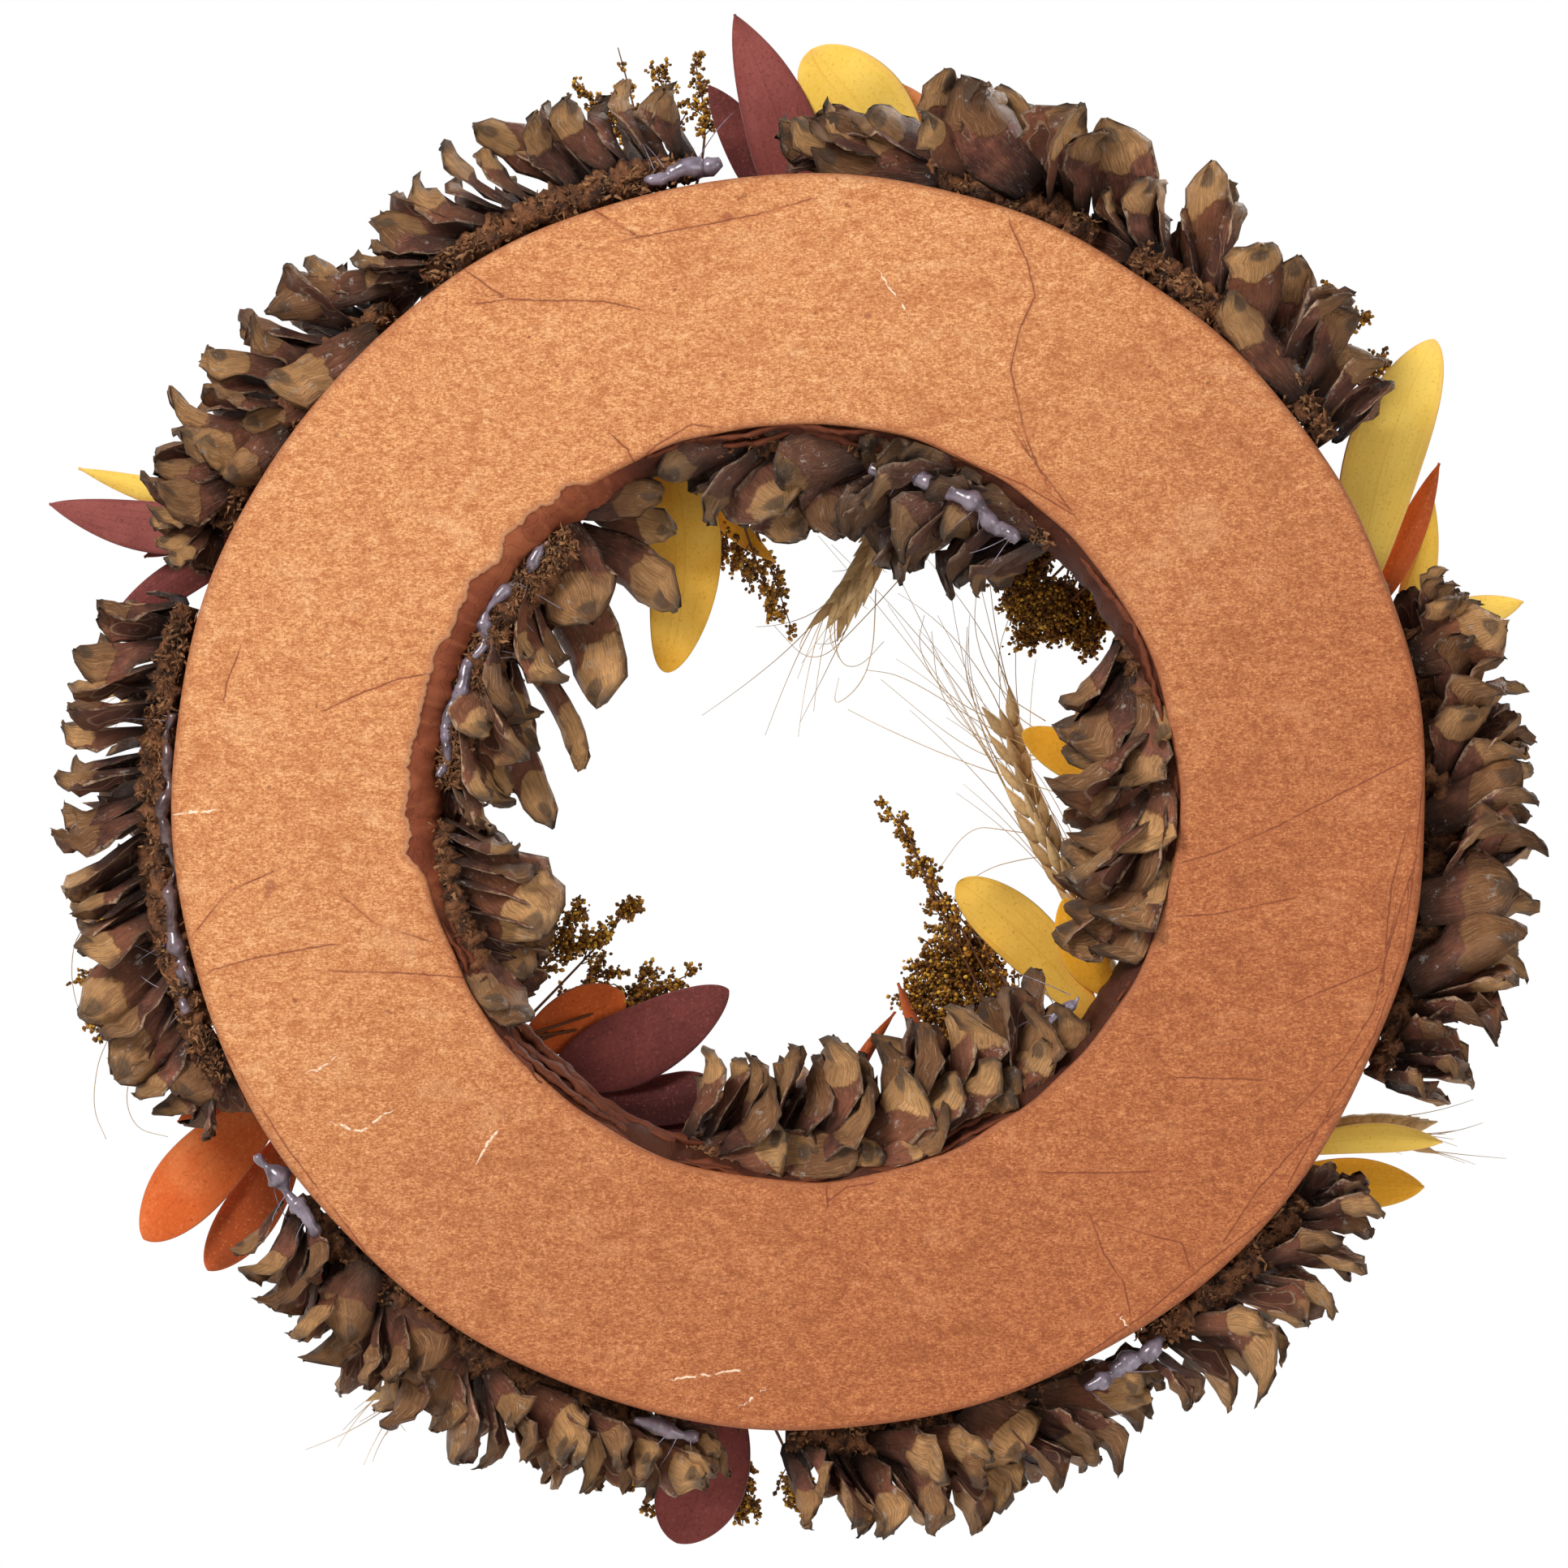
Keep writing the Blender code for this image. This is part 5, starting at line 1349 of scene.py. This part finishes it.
def makeEar(name, seed):
    # grains sit round a bent stem, each a third of a turn on from the last, and swell and taper
    ear = barleyEars[name]
    rng = np.random.default_rng(seed)
    shallow, deep = arcOf(name)[4:]
    depth = (shallow + deep) / 2
    foot = around(ear["foot"][0], ear["foot"][1] * mm, depth)
    tip = around(ear["tip"][0], ear["tip"][1] * mm, depth)
    root = around(ear["root"][0], ear["root"][1] * mm, shallow + 2 * mm)
    ahead, count = unit(tip - foot), earForm["grains"]
    bend = np.cross(ahead, [0, 1, 0]) * 0.06 * np.linalg.norm(tip - foot)
    s = np.linspace(0, 1, 12)[:, None]
    line = foot + (tip - foot) * s + bend * np.sin(np.pi * s)
    stem = np.concatenate([root + (foot - root) * np.linspace(0, 1, 6)[:-1, None], line])
    tubes = [tube(sweep(stem, earForm["stemRadius"] * np.linspace(1, 0.35, len(stem)), 8), grain=0.0,
                  straw=0.4)]
    share = np.linspace(0.0, 0.97, count)
    sideTurn = np.arange(count) * np.radians(120) + 0.5
    side, up = unit(np.cross(ahead, [0, 1, 0])), np.array([0, 1.0, 0])
    out = side * np.cos(sideTurn)[:, None] + up * np.sin(sideTurn)[:, None]
    place = np.stack([np.interp(share, s[:, 0], line[:, axis]) for axis in range(3)], -1) + out * 1.3 * mm
    way = unit(ahead + out * 0.32)
    t = np.linspace(0, 1, 7)
    grain = place[:, None] + way[:, None] * (t * earForm["grainLength"])[None, :, None]
    swell = np.array([0.3, 0.75, 1.0, 0.95, 0.7, 0.38, 0.1]) * earForm["grainWidth"] / 2
    grain = sweep(grain, swell[None] * rng.uniform(0.85, 1.15, (count, 1)), 7, 0.75)
    tubes.append(tube(grain, grain=1.0, straw=rng.uniform(0, 1, (count, 1, 1))))
    # awns start at grains picked at random: place = start + (lean along the ear) * t + splay * t^1.8
    which = rng.choice(count, ear["count"], replace=True)
    start = place[which] + way[which] * earForm["grainLength"] * 0.9
    reach = ear["awns"] * mm * rng.uniform(0.55, 1.15, (len(which), 1, 1))
    t = np.linspace(0, 1, 12)[None, :, None]
    splay = unit(rng.normal(size=(len(which), 3)) * np.array([1, 0.45, 1]))[:, None]
    awns = (start[:, None] + (way[which][:, None] * 0.4 + ahead * 0.8) * reach * t
            + splay * reach * ear["splay"] * t ** 1.8)
    radius = earForm["awnRadius"] * np.linspace(1.2, 0.45, 12)
    tubes.append(tube(sweep(awns, radius[None], 3), grain=0.3, straw=rng.uniform(0, 1, (len(which), 1, 1))))
    for line in looseAwns[name]:
        line = np.array(line, float)
        places = around(line[:, 0], line[:, 1] * mm, depth + rng.uniform(-4, 4) * mm)
        tubes.append(tube(sweep(smoothLine(places, 26), earForm["awnRadius"] * np.linspace(1.2, 0.6, 26),
                                3), grain=0.3,
                          straw=rng.uniform(0.2, 0.8)))
    makePiece(name + "_straw", tubes, barleyStraw, "straw", [name])


def barleyFinish():
    def recipe(wire):
        straw, grain = wire.attribute("straw"), wire.attribute("grain")
        place = wire.objectPlace()
        fine, clouds = wire.noise(place, 900.0, 3, 0.6), wire.noise(place, 160.0, 3, 0.6)
        base = straw.blend(colour(170, 132, 84), colour(222, 186, 130))
        base = (clouds.between(0.45, 0.7) * 0.5).blend(base, colour(150, 110, 66))
        base = (fine.between(0.5, 0.7) * 0.35 * grain).blend(base, colour(134, 96, 56))
        return {"Base Color": base, "Roughness": fine * 0.2 + 0.5,
                "bump": (fine + clouds * 0.5, 0.4, 0.0004)}

    return newFinish("barleyStraw", recipe, Specular_IOR_Level=0.4)


barleyStraw = barleyFinish()
for earNumber, earName in enumerate(barleyEars):
    makeEar(earName, 900 + earNumber * 5)
print("barley ready")

# each bead: start and end angle, mm off the wall, radius and depth in mm, how milky (1) or dark (0) it looks
glueRows = {
    "glue_bead_1": ((134, 176), -0.6, 1.5, 5.0, 0.75),
    "glue_bead_2": ((50, 78), 3.0, 1.8, 1.4, 0.7),
    "glue_bead_3": ((350, 372), -1.0, 1.5, 8.0, 0.1),
    "glue_bead_4": ((172, 197), 0.8, 1.3, 7.0, 0.2),
    "glue_bead_5": ((213, 222), 3.0, 2.0, 8.0, 0.8),
    "glue_bead_6": ((97, 104), 3.0, 1.9, 7.0, 0.9),
    "glue_bead_7": ((296, 304), 4.6, 2.2, 7.0, 0.9),
    "glue_blob_left": ((190, 199), 3.6, 1.7, 8.0, 0.5),
    "glue_blob_bottom": ((255, 261), 3.0, 1.6, 8.0, 0.6),
    "glue_blob_low_right": ((318, 325), 4.4, 0.9, 2.0, 1.0),
}
glueBeads = {name: dict(zip(("arc", "off", "radius", "depth", "milk"), row)) for name,
             row in glueRows.items()}


def makeGlue(name, seed):
    # a wandering tube along the wall whose radius swells in lumps and closes to its ends
    bead = glueBeads[name]
    rng = np.random.default_rng(seed)
    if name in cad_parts:
        inner = arcOf(name)[3] < ring["middle"]
    else:
        inner = name == "glue_blob_low_right"
    wall, sign = (ring["inner"], -1) if inner else (ring["outer"], 1)
    start, end = bead["arc"]
    rows = max(16, int((end - start) * 3.2))
    spots = np.linspace(start, end, rows)
    path = around(spots, wall + sign * bead["off"] * mm, bead["depth"] * mm)
    wander = 1.1 * mm * waves(path, 14 * mm, seed)
    depth = bead["depth"] * mm + 0.8 * mm * waves(path, 10 * mm, seed + 1)
    path = around(spots, wall + sign * bead["off"] * mm + wander, depth)
    lumps = 1 + 0.38 * waves(path, 7 * mm, seed + 2) + 0.2 * waves(path, 3 * mm, seed + 3)
    ends = np.sin(np.linspace(0.1, np.pi - 0.1, rows)) ** 0.35
    body = sweep(path, bead["radius"] * mm * np.clip(lumps, 0.45, 1.6) * ends, 14,
                 side=np.array([0, 1.0, 0]))
    tubes = [tube(body, milk=bead["milk"])]
    # hair-thin strings that the glue pulled as it was laid on
    strings = max(3, int((end - start) / 5))
    where = rng.uniform(start, end, strings)
    foot = around(where, wall + sign * (bead["off"] + 1) * mm, bead["depth"] * mm
                  - bead["radius"] * mm * 0.6)
    out, tangent = coneAxes(where, not inner)
    far = (foot + out * rng.uniform(3, 12, (strings, 1)) * mm
           + tangent * rng.normal(size=(strings, 1)) * 5 * mm)
    far = far + np.array([0, 1, 0]) * rng.uniform(1, 7, (strings, 1)) * mm
    t = np.linspace(0, 1, 8)[None, :, None]
    line = foot[:, None] + (far - foot)[:, None] * t + out[:, None] * np.sin(np.pi * t) * 0.8 * mm
    tubes.append(tube(sweep(line, 0.12 * mm, 4), milk=1.0))
    makePiece(name + "_glue", tubes, hotGlue, "glue", [name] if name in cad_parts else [])


def glueFinish():
    def recipe(wire):
        milk = wire.attribute("milk")
        clouds = wire.noise(wire.objectPlace(), 240.0, 3, 0.6)
        pale = clouds.between(0.3, 0.7).blend(colour(92, 80, 90), colour(146, 136, 154))
        deep = clouds.between(0.3, 0.7).blend(colour(52, 32, 26), colour(104, 72, 58))
        return {"Base Color": milk.blend(deep, pale), "Roughness": clouds * 0.15 + 0.16}

    return newFinish("hotGlue", recipe, Specular_IOR_Level=0.6, Subsurface_Weight=0.25,
                     Subsurface_Scale=0.002, Coat_Weight=0.35)


hotGlue = glueFinish()
for beadNumber, beadName in enumerate(glueBeads):
    makeGlue(beadName, 1000 + beadNumber * 9)
print("glue ready")
